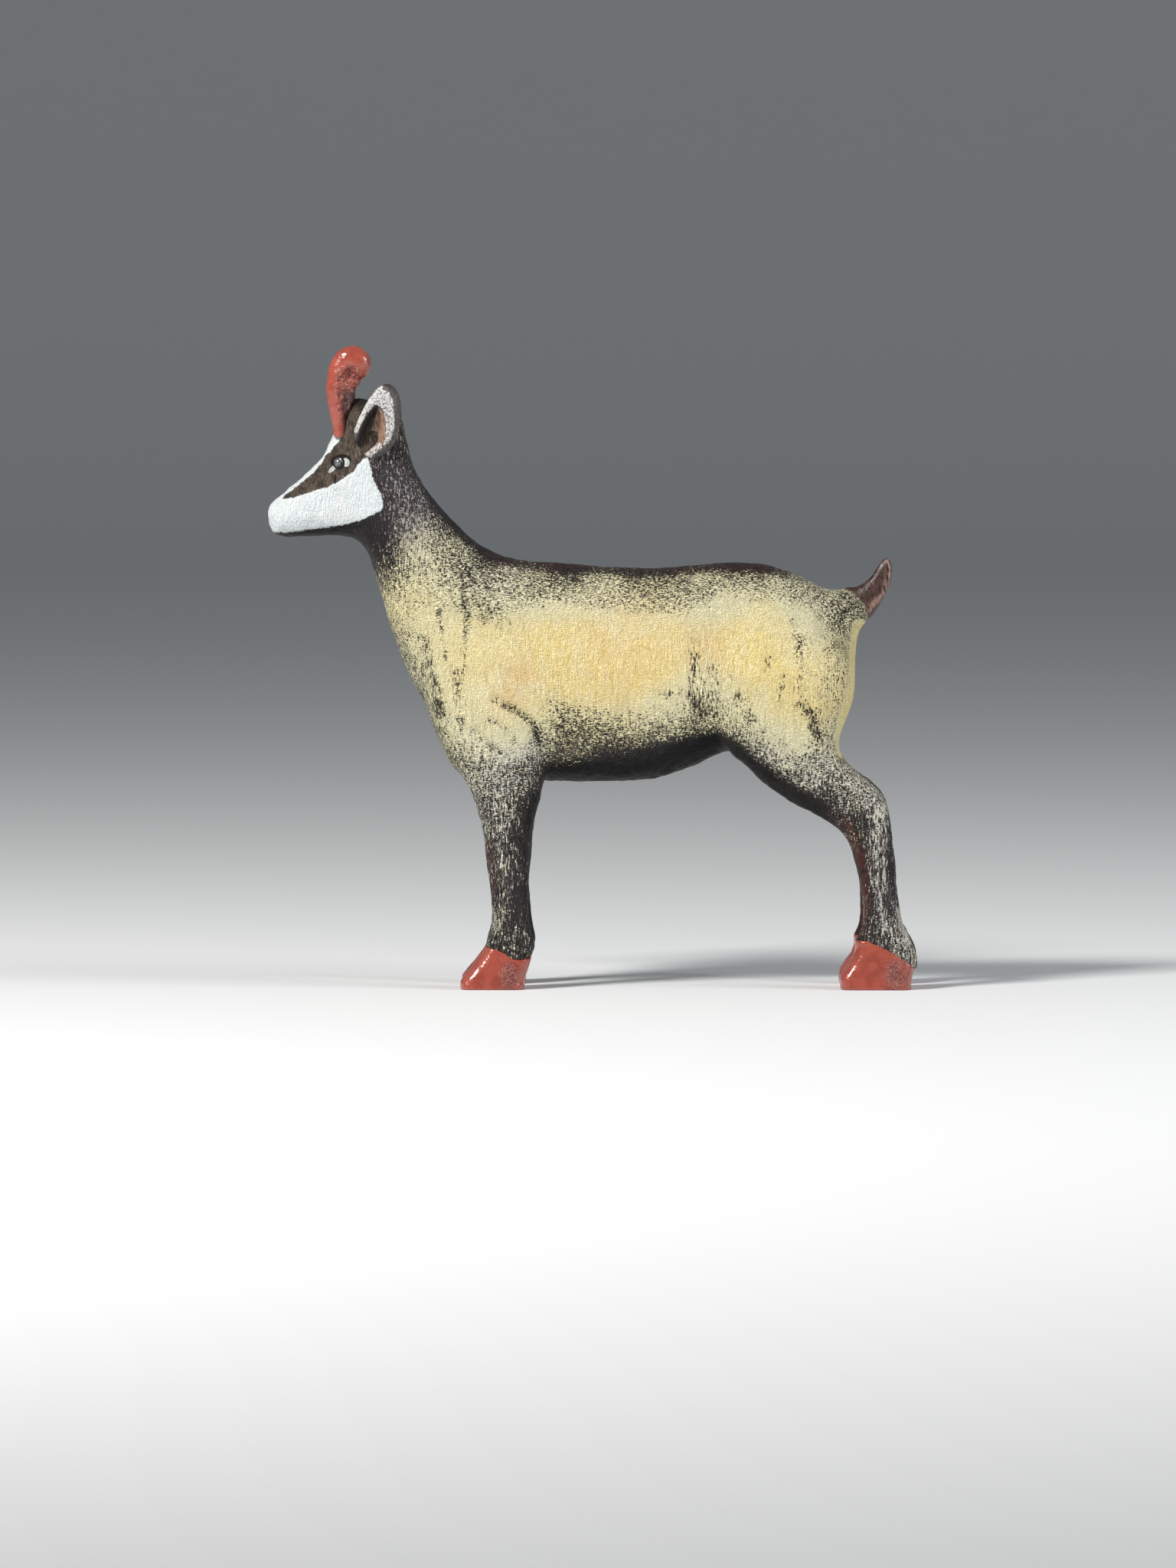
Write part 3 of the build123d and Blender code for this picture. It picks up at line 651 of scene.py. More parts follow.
class Paint:
    """One material, with short ways to add and join its nodes."""

    def __init__(self, name):
        self.material = bpy.data.materials.new(name)
        self.material.use_nodes = True
        self.tree = self.material.node_tree
        self.shader = self.tree.nodes["Principled BSDF"]
        self.millimetres = None

    def feed(self, socket, value):
        """Links a socket to another, or sets its value."""
        if isinstance(value, bpy.types.NodeSocket):
            self.tree.links.new(value, socket)
        elif socket.type == "RGBA":
            socket.default_value = (*value, 1)
        else:
            socket.default_value = value

    def node(self, kind, inputs=None, **settings):
        """A node with its settings and inputs."""
        node = self.tree.nodes.new("ShaderNode" + kind)
        for key, value in settings.items():
            setattr(node, key, value)
        for key, value in (inputs or {}).items():
            self.feed(node.inputs[key], value)
        return node

    def math(self, operation, a, b):
        """A sum or other operation on two numbers."""
        return self.node("Math", {0: a, 1: b}, operation=operation).outputs[0]

    def times(self, a, b):
        """The product of two numbers."""
        return self.math("MULTIPLY", a, b)

    def plus(self, a, b):
        """The sum of two numbers."""
        return self.math("ADD", a, b)

    def mix(self, share, a, b):
        """A colour between two colours."""
        node = self.node("Mix", data_type="RGBA")
        self.feed(node.inputs[0], share)
        self.feed(node.inputs[6], a)
        self.feed(node.inputs[7], b)
        return node.outputs[2]

    def blend(self, share, a, b):
        """A number between two numbers."""
        return self.node("Mix", {0: share, 2: a, 3: b}, data_type="FLOAT").outputs[0]

    def step(self, value, low, high, most=1):
        """0 at a low value and the most at a high one, smooth between."""
        inputs = {0: value, 1: low, 2: high, 3: 0, 4: most}
        return self.node("MapRange", inputs, interpolation_type="SMOOTHSTEP").outputs[0]

    def place(self, stretch=(1, 1, 1), turn=0):
        """The point on the surface in this file's millimetres, stretched and turned about Y."""
        if not self.millimetres:
            point = self.node("TexCoord").outputs["Object"]
            centred = self.node("VectorMath", {0: point, 1: CENTRE}, operation="SUBTRACT")
            inputs = {0: centred.outputs[0], "Scale": 1 / MM}
            self.millimetres = self.node("VectorMath", inputs, operation="SCALE").outputs[0]
        inputs = {"Vector": self.millimetres, "Scale": stretch, "Rotation": (0, turn, 0)}
        return self.node("Mapping", inputs).outputs[0]

    def side_place(self):
        """How far along X and how high the point on the surface is, in millimetres."""
        across, _, up = self.node("SeparateXYZ", {0: self.place()}).outputs
        return across, up

    def noise(self, scale, detail, roughness, stretch=(1, 1, 1), turn=0):
        """Noise about 0.5, one feature to each 1/scale millimetres, stretched and turned about Y."""
        place = self.place(stretch, turn)
        inputs = {"Vector": place, "Scale": scale, "Detail": detail, "Roughness": roughness}
        return self.node("TexNoise", inputs).outputs[0]

    def swing(self, noise, size):
        """Noise turned to swing about 0 by a given size."""
        return self.times(self.math("SUBTRACT", noise, 0.5), size)

    def three(self, name):
        """The three numbers that a piece keeps under a name."""
        vector = self.node("Attribute", attribute_name=name).outputs["Vector"]
        return self.node("SeparateXYZ", {0: vector}).outputs

    def finish(self, colour, roughness, height, depth, **extras):
        """Sets the shader up, with relief of a height from 0 to 1 over a depth in millimetres."""
        node = self.node("Bump", {"Height": height, "Distance": depth * MM, "Strength": 1})
        values = {"base_color": colour, "roughness": roughness, "normal": node.outputs[0], **extras}
        sockets = {socket.name.lower().replace(" ", "_"): socket for socket in self.shader.inputs}
        for name, value in values.items():
            self.feed(sockets[name], value)
        return self.material


EYE_PLACE = (-41.25, 85.5)  # middle of an eye, seen from the side


def ellipse_mark(paint, across, up, centre, half_length, half_width, angle, softness=0.25):
    """1 inside an ellipse painted on the side of the head, 0 outside."""
    c, s = np.cos(angle), np.sin(angle)
    dx = paint.math("SUBTRACT", across, centre[0])
    dz = paint.math("SUBTRACT", up, centre[1])
    u = paint.plus(paint.times(dx, c / half_length), paint.times(dz, s / half_length))
    v = paint.plus(paint.times(dx, -s / half_width), paint.times(dz, c / half_width))
    square = paint.plus(paint.times(u, u), paint.times(v, v))
    return paint.step(square, 1 + softness, 1 - softness)


def coat_material():
    """Dark ground, dry-brushed cream and grey over it, and the white and brown mask, with painted shade
    in the creases, under the belly and on the crown, and painted highlight flecks in the cream.
    """
    paint = Paint("painted_coat")
    cover, hue, warm = paint.three("brush")
    violet, red, grain = paint.three("ground")
    white, brown, under = paint.three("mask")

    upright = paint.noise(4.5, 2, 0.6, (1, 1, 0.18))
    level = paint.noise(4.8, 2, 0.55, (0.45, 1, 1.2), 0.2)
    patches = paint.noise(0.34, 2, 0.5)
    texture = paint.blend(paint.blend(grain, 0.1, 0.72), level, upright)
    ridge = paint.step(texture, 0.34, 0.66)
    ridge = paint.plus(ridge, paint.swing(patches, 0.3))
    bare = paint.math("SUBTRACT", 1.12, paint.times(cover, 1.24))
    brushed = paint.step(paint.math("SUBTRACT", ridge, bare), -0.07, 0.07)

    light = paint.mix(paint.step(hue, 0, 0.5), GREY_WHITE, PALE_CREAM)
    light = paint.mix(paint.step(hue, 0.45, 1), light, WARM_CREAM)
    light = paint.mix(warm, light, ORANGE)
    streak = paint.noise(2.6, 2, 0.6, (1, 1, 0.1))
    drift = paint.noise(0.22, 2, 0.5, (1, 1, 0.5))
    light = paint.mix(paint.step(drift, 0.5, 0.64, 0.4), light, (0.94, 0.86, 0.55))
    light = paint.mix(paint.step(streak, 0.5, 0.68, 0.5), light, (0.97, 0.88, 0.6))
    light = paint.mix(paint.step(streak, 0.48, 0.3, 0.45), light, (0.58, 0.46, 0.22))
    hairs_and_glints = paint.noise(4.2, 2, 0.6, (1, 1, 0.35))
    light = paint.mix(paint.step(hairs_and_glints, 0.48, 0.32, 0.22), light, (0.5, 0.38, 0.2))
    # Painted highlights: pale flecks from this noise over the cream
    light = paint.mix(paint.step(hairs_and_glints, 0.54, 0.68, 0.3), light, (1, 0.94, 0.68))
    light = paint.mix(paint.times(violet, 0.75), light, VIOLET_FILM)

    mottle = paint.noise(1.1, 3, 0.6, (1, 1, 0.6))
    dark = paint.mix(paint.step(mottle, 0.42, 0.7), DARK_GROUND, WORN_GROUND)
    dark = paint.mix(violet, dark, VIOLET_GROUND)
    dark = paint.mix(paint.times(red, paint.step(mottle, 0.3, 0.6)), dark, RED_GROUND)
    # Painted shade: the bare band under the belly goes near black
    dark = paint.mix(paint.times(under, 0.95), dark, BELLY_SHADE_BLACK)
    thin = paint.step(cover, 0.85, 0.15)
    thin = paint.times(thin, paint.step(hairs_and_glints, 0.6, 0.38, 0.55))
    film = paint.step(cover, 0.05, 0.6)
    film = paint.times(film, paint.step(hairs_and_glints, 0.46, 0.66, 0.3))
    colour = paint.mix(brushed, paint.mix(film, dark, light), paint.mix(thin, light, dark))

    on_brown = paint.step(brown, -0.25, 0.25)
    patch = paint.mix(paint.step(mottle, 0.36, 0.62), DEEP_BROWN, BROWN_PATCH)
    olive = paint.step(upright, 0.5, 0.68, 0.7)
    patch = paint.mix(olive, patch, OLIVE_HAIR)
    _, up = paint.side_place()
    # Painted shade on the crown under the horns: the brown patch goes near black above 93.5 mm
    patch = paint.mix(paint.step(up, 93.5, 95.5, 0.9), patch, CROWN_SHADE_BLACK)
    colour = paint.mix(on_brown, colour, patch)

    across, up = paint.side_place()
    ex, ez = EYE_PLACE
    lid = ellipse_mark(paint, across, up, (ex + 0.35, ez + 0.25), 1.75, 1.15, 0.15, 0.2)
    corner = ellipse_mark(paint, across, up, (ex + 1.15, ez + 0.1), 0.62, 0.72, 0.3)
    sliver = ellipse_mark(paint, across, up, (ex - 1.05, ez - 1), 0.85, 0.32, 0.8)
    socket = ellipse_mark(paint, across, up, (ex, ez), 1.02, 1.02, 0, 0.12)
    tear = ellipse_mark(paint, across, up, (ex - 0.6, ez - 2.7), 0.9, 0.18, 1.5)
    colour = paint.mix(paint.math("MAXIMUM", tear, lid), colour, LID_BLACK)
    colour = paint.mix(paint.math("MAXIMUM", corner, sliver), colour, WHITE)
    colour = paint.mix(socket, colour, SOCKET_BLACK)

    edge = paint.noise(2.2, 2, 0.6)
    masked = paint.plus(white, paint.swing(edge, 0.5))
    on_white = paint.step(masked, -0.1, 0.1)
    chalk = paint.mix(paint.step(streak, 0.4, 0.62, 0.5), WHITE, CHALK_GREY)
    chalk = paint.mix(paint.step(patches, 0.55, 0.75, 0.5), chalk, CHALK_WARM)
    colour = paint.mix(on_white, colour, chalk)

    painted = paint.math("MAXIMUM", on_white, brushed)
    fine = paint.noise(5, 2, 0.6, (1, 1, 0.25))
    roughness = paint.plus(paint.blend(painted, 0.48, 0.6), paint.swing(fine, 0.25))
    height = paint.times(ridge, paint.blend(on_white, 0.7, 0.35))
    height = paint.plus(height, paint.times(painted, 0.3))
    height = paint.plus(height, paint.times(fine, paint.blend(on_white, 0.6, 0.35)))
    height = paint.plus(height, paint.times(on_white, 0.9))
    return paint.finish(colour, roughness, height, 0.5, specular_ior_level=0.26)


def red_material():
    """Thick glossy brick-red enamel, pitted where the wood under it is rough, with painted glints in
    the pits and painted shade under the horns' hooks.
    """
    paint = Paint("red_enamel")
    rough, hook_shade_and_pit_dark, _ = paint.three("marks_and_painted_light")
    pits = paint.noise(3, 3, 0.65)
    broad = paint.noise(0.55, 2, 0.5)
    colour = paint.mix(paint.step(broad, 0.35, 0.7), (0.35, 0.07, 0.043), (0.27, 0.047, 0.031))
    pit = paint.times(paint.step(pits, 0.5, 0.36), rough)
    colour = paint.mix(pit, colour, (0.045, 0.016, 0.013))
    # Painted glints: light flecks on the pitted enamel
    painted_glint = paint.times(paint.step(pits, 0.56, 0.66), rough)
    colour = paint.mix(paint.times(painted_glint, 0.6), colour, (0.66, 0.32, 0.26))
    # Painted shade under the horn's hook, and darker pits on the hooves
    colour = paint.mix(paint.times(hook_shade_and_pit_dark, 0.85), colour, (0.03, 0.014, 0.012))
    lumps = paint.noise(1.7, 2, 0.6)
    height = paint.plus(paint.times(lumps, 0.9), paint.times(paint.times(pits, rough), 2))
    coat = paint.blend(rough, 0.6, 0.25)
    gloss = paint.blend(rough, 0.24, 0.2)
    return paint.finish(colour, gloss, height, 0.16, coat_weight=coat, coat_roughness=0.1)


def ear_material():
    """A stippled white rim round a brown hollow that is darkest in front."""
    paint = Paint("ear_paint")
    rim, hollow, front = paint.three("leaf")
    grain = paint.noise(3.4, 3, 0.7)
    stipple = paint.step(paint.plus(grain, paint.times(rim, 0.22)), 0.6, 0.7)
    streaks = paint.noise(2.4, 3, 0.6, (1.3, 1, 0.4), 0.25)
    inside = paint.mix(paint.step(streaks, 0.35, 0.65), (0.13, 0.07, 0.048), (0.36, 0.22, 0.155))
    inside = paint.mix(paint.step(front, 0.2, 0.65), inside, (0.01, 0.007, 0.006))
    outside = paint.mix(paint.step(streaks, 0.4, 0.65), (0.05, 0.04, 0.038), (0.115, 0.1, 0.088))
    colour = paint.mix(hollow, outside, inside)
    pale = paint.mix(paint.step(grain, 0.45, 0.6), (0.4, 0.38, 0.38), (0.62, 0.62, 0.61))
    colour = paint.mix(stipple, colour, pale)
    height = paint.plus(grain, paint.times(streaks, 0.5))
    return paint.finish(colour, paint.blend(stipple, 0.5, 0.65), height, 0.14)


def tail_material():
    """Dark red-brown stained wood with a painted highlight along its raised rear ridge."""
    paint = Paint("tail_stain")
    ridge = paint.three("marks_and_painted_light")[0]
    grain = paint.noise(2.4, 3, 0.6, (1, 1, 0.35), 0.6)
    colour = paint.mix(paint.step(grain, 0.35, 0.65), (0.02, 0.009, 0.007), (0.058, 0.024, 0.016))
    # Painted highlight along the rear ridge
    colour = paint.mix(paint.times(ridge, paint.step(grain, 0.35, 0.6)), colour, (0.27, 0.165, 0.13))
    return paint.finish(colour, paint.blend(paint.step(grain, 0.3, 0.7), 0.34, 0.5), grain, 0.12)


def eye_material():
    """A glossy black bead with a smoky iris."""
    paint = Paint("eye_gloss")
    iris = paint.three("marks_and_painted_light")[0]
    cloud = paint.noise(2.5, 2, 0.6)
    smoke = paint.mix(paint.step(cloud, 0.35, 0.65), (0.055, 0.06, 0.062), (0.16, 0.17, 0.175))
    colour = paint.mix(iris, (0.01, 0.009, 0.009), smoke)
    gloss = paint.blend(cloud, 0.12, 0.2)
    return paint.finish(colour, gloss, cloud, 0.02, coat_weight=1, coat_roughness=0.04)


def dowel_material():
    """Bare beech with fine flecks along the dowel."""
    paint = Paint("bare_beech")
    flecks = paint.noise(3, 3, 0.6, (1, 0.15, 1))
    colour = paint.mix(paint.step(flecks, 0.35, 0.65), (0.5, 0.33, 0.19), (0.64, 0.46, 0.29))
    return paint.finish(colour, paint.blend(flecks, 0.5, 0.75), flecks, 0.05)


# --- surface of the carving
# Grooves between the muscles: (path, half width, depth) in millimetres
GROOVES = [
    ([(-15.6, 47.2), (-12.4, 45.2), (-9.6, 42.8), (-8, 39)], 0.85, 0.5),
    ([(-16.6, 43.8), (-14.4, 42.8), (-12.6, 40.4)], 0.6, 0.22),
    ([(-19, 42), (-17, 40.2), (-14.6, 38.6)], 0.6, 0.22),
    ([(-20.4, 64), (-19, 60.5), (-16.4, 57)], 1.1, 0.3),
    ([(-23.4, 60), (-22.6, 55), (-22, 50)], 0.9, 0.22),
    ([(16.6, 56), (17, 50.5), (18.6, 45)], 1.7, 0.5),
    ([(20.6, 41), (24, 38.6), (29, 35.2)], 1, 0.25),
    ([(37.6, 58), (38.4, 51), (38.8, 44)], 1.4, 0.25),
    ([(-35.4, 84.5), (-34.6, 81), (-33.6, 78.4)], 0.7, 0.25),
]


def carve_surface(piece):
    """Knife facets, brush ridges and carved grooves over the whole skin."""
    p, n = skin(piece)
    x, _, z = p.T
    shift = 0.16 * value_noise(p / 5.5, 1) + 0.1 * value_noise(p / np.array((1.7, 1.7, 3.4)), 2)
    lively = 0.4 + 0.6 * step_up(-z, -44, -36) + 0.4 * step_up(z, 62, 66)
    shift += 0.075 * lively * value_noise(p * np.array((1.5, 1.5, 1.1)), 5)
    sideways = step_up(np.abs(n[:, 1]), 0.2, 0.6)
    shift -= sideways * stroke_sum(x, z, GROOVES)
    white = depth_inside(x, z, MASK_OUTLINE, 4)
    shift += step_up(white, -0.3, 0.3) * (0.12 + 0.09 * value_noise(p / np.array((1.3, 1.3, 1.9)), 6))
    set_coordinates(piece, p + n * shift[:, None])


# --- small pieces
HORN_PATH = [
    (-40.85, 88.9), (-41.1, 92), (-41.45, 95), (-41.55, 98), (-41, 100.8), (-39.6, 102.4),
    (-38.1, 101.9), (-37.9, 100.2),
]
HORN_RADII = [1.15, 1.2, 1.5, 1.65, 1.75, 1.95, 1.8, 1.15]
HORN_WEB = [
    (-41, 93.5), (-41.4, 100), (-38.6, 101), (-37.9, 98.6), (-38.7, 97.4), (-38.9, 95.4), (-39.8, 93.2),
]
HORN_FOOT = 89.55  # height that a horn is cut off at
# Distances between the points that the small pieces are worked out at
HORN_STEP = 0.17
EAR_STEP = 0.16
TAIL_STEP = 0.2
HOOF_STEP = 0.2


def horn_field(x, y, z):
    """Field of one horn about its own middle: a fat hook with a thin rough web in its crook."""
    path = smooth_curve(HORN_PATH, closed=False, steps=4)
    along = np.linspace(0, len(HORN_PATH) - 1, len(path))
    radii = np.interp(along, range(len(HORN_RADII)), HORN_RADII)
    hook = np.full(np.broadcast(x, y, z).shape, 1e9)
    for (ax, az), radius in zip(path, radii):
        ball = np.sqrt((x - ax) ** 2 + (y * 1.12) ** 2 + (z - az) ** 2) - radius
        hook = smooth_min(hook, ball, 0.5)
    web = rounded_board(depth_inside(x, z, HORN_WEB), y, 0.85, 0.9)
    return smooth_max(smooth_min(hook, web, 0.45), HORN_FOOT - z, 0.25)


def add_horn(side, sign, material):
    """One horn, glossy outside and rough in the crook."""
    low, high = (-44.2, -2.6, 88.2), (-35.2, 2.6, 105.6)
    field = horn_field(*grid(low, high, HORN_STEP))
    horn = new_mesh(f"carved_horn_{side}", *surface_net(field, low, HORN_STEP))
    p, n = skin(horn)
    x, _, z = p.T
    rough = step_up(depth_inside(x, z, HORN_WEB), -0.7, 0.2)
    # Painted shade: the lower rear of the horn under its hook is darkened
    hook_shade_and_pit_dark = step_up(x, -41, -40.2) * step_up(-z, -98, -96.4)
    shift = 0.06 * value_noise(p / 1.6, 11) + rough * 0.2 * value_noise(p / 0.5, 12)
    p += n * shift[:, None]
    p[:, 2] = np.minimum(p[:, 2], HEIGHT)
    p[:, 1] += sign * HORN_MIDDLE
    set_coordinates(horn, p)
    store(horn, "marks_and_painted_light", (rough, hook_shade_and_pit_dark, rough))
    finish_piece(horn, f"horn_{side}", material)


EAR_OUTLINE = [
    (-38.6, 89.4), (-38.6, 91), (-37.5, 93.8), (-35.9, 96.4), (-34.5, 97.9), (-33, 98), (-31.8, 96.6),
    (-31.3, 93.8), (-31.5, 90.6), (-32.6, 88), (-34.2, 86.6), (-36, 86.3), (-37.6, 87.3),
]
EAR_HOLLOW = [
    (-38.6, 88.2), (-37.9, 90.4), (-36.8, 92.8), (-35.3, 94.7), (-34.4, 94.3), (-33.8, 92.6),
    (-33.7, 90.4), (-34.2, 88.6), (-35.2, 87.6), (-36.6, 86.6), (-38.6, 86.2),
]
EAR_TUFT = [(-34.9, 88.2), (-36, 87.2), (-36.8, 86.2)]  # middle line of a stippled tuft below the ear
EAR_ROOT = (4.9, 87)  # distance from the middle plane, at a height
EAR_LEAN = 0.11  # how much further out the ear stands for each millimetre above its root


def ear_field(x, y, z):
    """Field of one ear about its own middle, hollow towards -Y."""
    board = rounded_board(depth_inside(x, z, EAR_OUTLINE), y, 1.25, 1.3)
    hollow = depth_inside(x, z, EAR_HOLLOW)
    deepest = -1.6 + 2.1 * step_up(hollow, -0.35, 1.1)
    scoop = np.where(hollow > -0.4, deepest - y, -9)
    return smooth_max(board, scoop, 0.25)


def add_ear(side, sign, material):
    """One leaf-shaped ear on the side of the head, its hollow turned outward."""
    low, high = (-39.6, -1.9, 85.2), (-31, 1.9, 99.2)
    field = ear_field(*grid(low, high, EAR_STEP))
    ear = new_mesh(f"carved_ear_{side}", *surface_net(field, low, EAR_STEP))
    p, n = skin(ear)
    x, y, z = p.T
    leaf = depth_inside(x, z, EAR_OUTLINE)
    hollow = depth_inside(x, z, EAR_HOLLOW)
    facing = step_up(-y, -0.6, 0.3)
    rim = step_up(-hollow, -0.1, 0.35) * facing * step_up(leaf, -0.4, 0.1)
    rim = np.maximum(rim, 0.8 * step_up(-y, -0.2, 0.5) * step_up(-hollow, 0, 0.4))
    rim *= 1 - step_up(-x, 33.6, 34.4) * step_up(-z, -90.8, -89.8)
    rim *= 1 - step_up(x, -34.2, -33.6) * step_up(-leaf, -0.95, -0.55)
    rim *= 1 - step_up(-z, -88.8, -87.6)
    tuft = step_up(-distance_to_path(x, z, EAR_TUFT), -1.3, -0.4) * facing
    rim = np.maximum(rim, 0.92 * tuft)
    inside = step_up(hollow, -0.3, 0.1)
    front = step_up(-36.3 + 0.36 * (z - 91) - x, -1.1, 0.5)
    shift = 0.05 * value_noise(p / 0.7, 21) + 0.05 * value_noise(p / 2, 22)
    p += n * shift[:, None]
    store(ear, "leaf", (rim * 2 - 1, inside, front))
    p[:, 1] -= EAR_ROOT[0] + EAR_LEAN * (p[:, 2] - EAR_ROOT[1])
    p[:, 1] *= -sign
    set_coordinates(ear, p)
    if sign > 0:
        ear.data.flip_normals()
    finish_piece(ear, f"ear_{side}", material)


def add_tail(material):
    """The short pointed tail, which stands up from the rump."""
    low, high = (40, -3.2, 58.4), (50, 3.2, 71)
    x, y, z = grid(low, high, TAIL_STEP)
    along = np.clip(((x - 43) * 0.5 + (z - 62) * 0.85) / 8, 0, 1)
    depth = depth_inside(x, z, TAIL_OUTLINE)
    field = rounded_board(depth, y, 2.15 - 1.35 * along, 2 - 1.1 * along)
    root = (x - 41.4) * 0.78 + (z - 65.2) * 0.62 + 3
    field = np.maximum(field, -root)
    tail = new_mesh("carved_tail", *surface_net(field, low, TAIL_STEP))
    p, n = skin(tail)
    shift = 0.09 * value_noise(p / 1.6, 31) + 0.04 * value_noise(p / 0.6, 32)
    x, _, z = p.T
    spine = [(45, 61.5), (47.6, 64.6), (48.4, 67.2), (48.1, 69.6)]
    ridge = np.exp(-((distance_to_path(x, z, spine) / 0.45) ** 2))
    set_coordinates(tail, p + n * (shift + 0.12 * ridge)[:, None])
    # The raised rear ridge, where the tail's material paints a highlight
    store(tail, "marks_and_painted_light", (ridge, ridge, ridge))
    finish_piece(tail, "tail", material)


FORE_HOOF_OUTLINE = [
    (-21.5, 0.9), (-20.7, 2.3), (-19.1, 4.2), (-17.4, 6.6), (-16.6, 9), (-14, 9.5), (-10.6, 9),
    (-9.9, 5.5), (-10.3, 3.6), (-10.9, 1.8), (-11.2, -0.6), (-13, -2), (-17, -2.2), (-20.8, -1.8),
]
HIND_HOOF_OUTLINE = [
    (40.3, 1.4), (41, 3.2), (42.2, 4.9), (42.8, 6.6), (43, 9.6), (47, 10.4), (51.4, 8), (52.5, 4.2),
    (52.2, 2.4), (51.9, 0.8), (51.7, -1.2), (49, -2.2), (45, -2.2), (41, -1.8),
]


def add_hoof(pair, side, sign, outline, line, pitted, material):
    """One hoof: a side outline rounded over, cut flat to stand on and along the hoof line.

    Its enamel is pitted about a place (x, z), over a reach.
    """
    xs = [x for x, _ in outline]
    low, high = (min(xs) - 0.8, -4.8, -0.9), (max(xs) + 0.8, 4.8, 8.6)
    x, y, z = grid(low, high, HOOF_STEP)
    half_width = 3.75 - 0.1 * np.clip(z, 0, 7)
    field = rounded_board(depth_inside(x, z, outline), y, half_width, 1.9, 2.6)
    field = smooth_max(field, -z, 0.12)
    field = smooth_max(field, z - line_height(x, line) - 0.25 - 0.02 * y, 0.2)
    hoof = new_mesh(f"carved_hoof_{pair}_{side}", *surface_net(field, low, HOOF_STEP))
    p, n = skin(hoof)
    x, _, z = p.T
    (px, pz), reach = pitted
    rough = np.clip(1.3 * np.exp(-(((x - px) / reach) ** 2) - ((z - pz) / (1.5 * reach)) ** 2), 0, 1)
    rough *= step_up(np.abs(n[:, 1]), 0.3, 0.7)
    shift = 0.07 * value_noise(p / 1.8, 41) + 0.03 * value_noise(p / 0.8, 42)
    shift += 0.1 * rough * value_noise(p / 0.6, 43)
    shift *= step_up(z, 0.05, 0.6)
    p += n * shift[:, None]
    p[:, 2] = np.maximum(p[:, 2], 0)
    p[:, 1] += sign * LEG_MIDDLE
    set_coordinates(hoof, p)
    store(hoof, "marks_and_painted_light", (rough, 0.35 * rough, rough))
    finish_piece(hoof, f"hoof_{pair}_{side}", material)


# Side of an eye bead: (radius, rise over the skin), from the middle out over the ring and down
EYE_PROFILE = [
    (0, 0.46), (0.24, 0.43), (0.45, 0.34), (0.6, 0.22), (0.68, 0.1), (0.76, 0.1), (0.84, 0.06),
    (0.9, -0.02), (0.92, -0.2), (0.9, -0.9), (0, -0.9),
]
EYE_RISE = 0.05  # lift of the whole bead off the skin
IRIS_RADIUS = 0.65


def skin_at(piece, place, sign):
    """The point of a piece at a side place (x, z), on one side, and its outward direction."""
    p, n = skin(piece)
    near = (p[:, 1] * sign > 0.5) & (np.hypot(p[:, 0] - place[0], p[:, 2] - place[1]) < 0.7)
    near &= n[:, 1] * sign > 0.3
    outward = n[near].mean(axis=0)
    return p[near].mean(axis=0), outward / np.linalg.norm(outward)


def add_eye(side, point, outward, material):
    """A domed bead in a raised ring, turned about its own axis and set square to the skin."""
    across = np.cross(outward, (0, 0, 1))
    across /= np.linalg.norm(across)
    vertices, faces = spin(EYE_PROFILE, 40)
    iris = (np.hypot(*vertices.T[:2]) < IRIS_RADIUS) & (vertices[:, 2] > 0)
    turned = vertices @ np.array((across, np.cross(outward, across), outward))
    eye = new_mesh(f"bead_eye_{side}", point + turned + EYE_RISE * outward, faces)
    store(eye, "marks_and_painted_light", (iris, iris, iris))
    finish_piece(eye, f"eye_{side}", material)


# --- put it together
animal = carve_animal()
carve_surface(animal)
eye_seats = {side: skin_at(animal, EYE_PLACE, sign) for side, sign in SIDES.items()}
coat = coat_material()
for name, piece in take_apart(animal).items():
    paint_coat(piece)
    finish_piece(piece, name, coat)

red = red_material()
ear_paint = ear_material()
eye_gloss = eye_material()
for side, sign in SIDES.items():
    add_horn(side, sign, red)
    add_ear(side, sign, ear_paint)
    add_eye(side, *eye_seats[side], eye_gloss)
    add_hoof("fore", side, sign, FORE_HOOF_OUTLINE, FORE_HOOF_LINE, ((-13.4, 2.2), 1.4), red)
    add_hoof("hind", side, sign, HIND_HOOF_OUTLINE, HIND_HOOF_LINE, ((49.4, 2.4), 1.8), red)
add_tail(tail_material())

beech = dowel_material()
for node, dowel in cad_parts.items():
    if "dowel" in node:
        for material_slot in dowel.material_slots:
            material_slot.material = beech

# --- floor, light, camera
FRAME_WIDTH = 192  # millimetres of the object's plane that the picture is wide
LENS_MM = 320
SENSOR_MM = 36
CAMERA_ELEVATION = 3
CAMERA_AZIMUTH = 0.5  # a little towards the animal's tail
VIEW_CENTRE = (-0.75, 0, 33)
HEIGHT_LIT = 50  # the lights point here


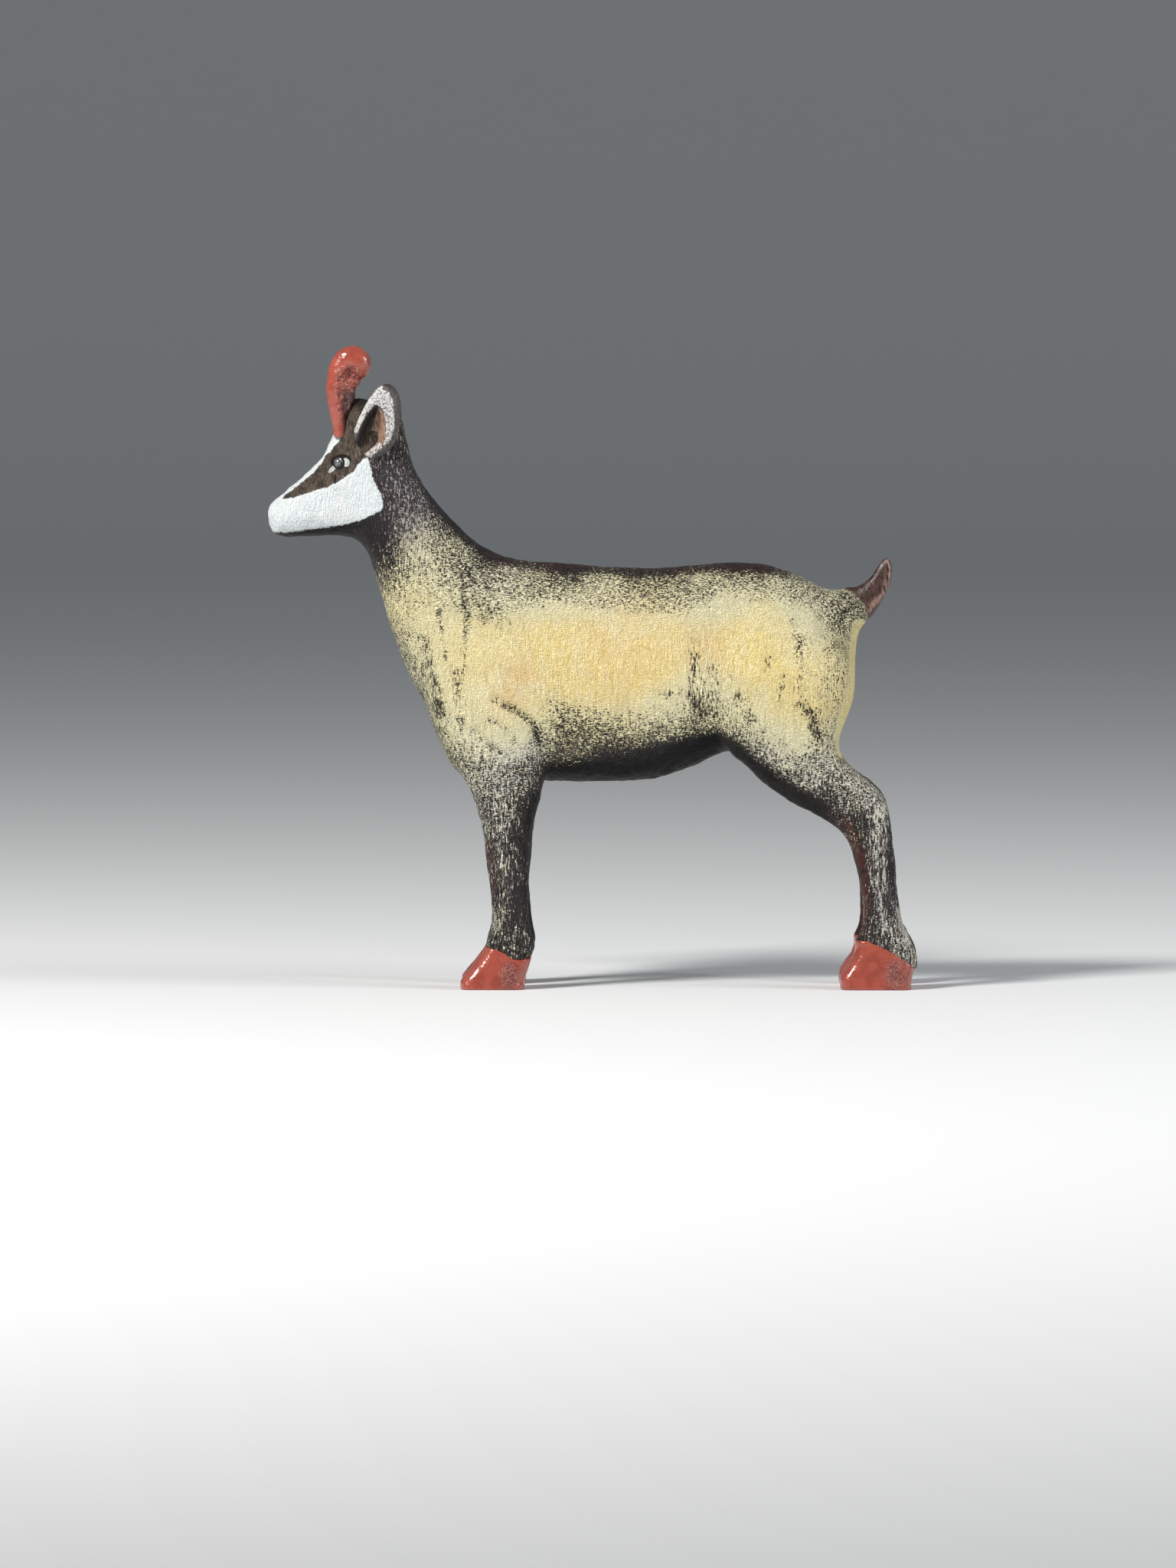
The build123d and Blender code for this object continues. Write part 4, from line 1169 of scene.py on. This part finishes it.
def make_floor():
    """A plain pale floor, flat for a long way and then curving up all round."""
    flat, bend = 2200, 900
    profile = [(0, 0)]
    for angle in np.radians(range(0, 91, 10)):
        profile.append((flat + bend * np.sin(angle), bend - bend * np.cos(angle)))
    material = bpy.data.materials.new("floor_paper")
    material.use_nodes = True
    shader = material.node_tree.nodes["Principled BSDF"]
    shader.inputs["Base Color"].default_value = (0.72, 0.73, 0.74, 1)
    shader.inputs["Roughness"].default_value = 0.9
    floor = new_mesh("floor", *spin(profile, 96))
    place_in_frame(floor, material)


def aim(thing, location, target):
    """Sets a light or a camera at a place in the frame, turned to a target."""
    thing.location = location
    thing.rotation_euler = (target - location).to_track_quat("-Z", "Y").to_euler()


def make_light(name, place, size, watts, colour):
    """A soft square light aimed at the figure."""
    light = bpy.data.lights.new(name, "AREA")
    light.shape = "SQUARE"
    light.size = size * MM
    light.energy = watts
    light.color = colour
    aim(add_object(name, light), CENTRE + Vector(place) * MM, CENTRE + Vector((0, 0, HEIGHT_LIT)) * MM)


def make_camera():
    """A long lens square to the animal's left side, a few degrees above the floor."""
    data = bpy.data.cameras.new("camera")
    data.sensor_fit = "HORIZONTAL"
    data.sensor_width = SENSOR_MM
    data.lens = LENS_MM
    camera = add_object("camera", data)
    distance = FRAME_WIDTH * LENS_MM / SENSOR_MM
    up, turn = np.radians(CAMERA_ELEVATION), np.radians(CAMERA_AZIMUTH)
    backward = Vector((np.cos(up) * np.sin(turn), -np.cos(up) * np.cos(turn), np.sin(up)))
    target = CENTRE + Vector(VIEW_CENTRE) * MM
    aim(camera, target + backward * distance * MM, target)
    bpy.context.scene.camera = camera


def make_world():
    """Dim even light from all round."""
    world = bpy.data.worlds.new("studio")
    world.use_nodes = True
    background = world.node_tree.nodes["Background"]
    background.inputs["Color"].default_value = (0.8, 0.85, 0.9, 1)
    background.inputs["Strength"].default_value = 0.2
    bpy.context.scene.world = world


make_floor()
make_light("key_light", (-480, -440, 600), 190, 9.2, (1, 0.98, 0.94))
make_light("fill_light", (640, -230, 330), 320, 3.2, (0.98, 0.98, 1))
make_world()
make_camera()
bpy.context.scene.view_settings.view_transform = "Standard"
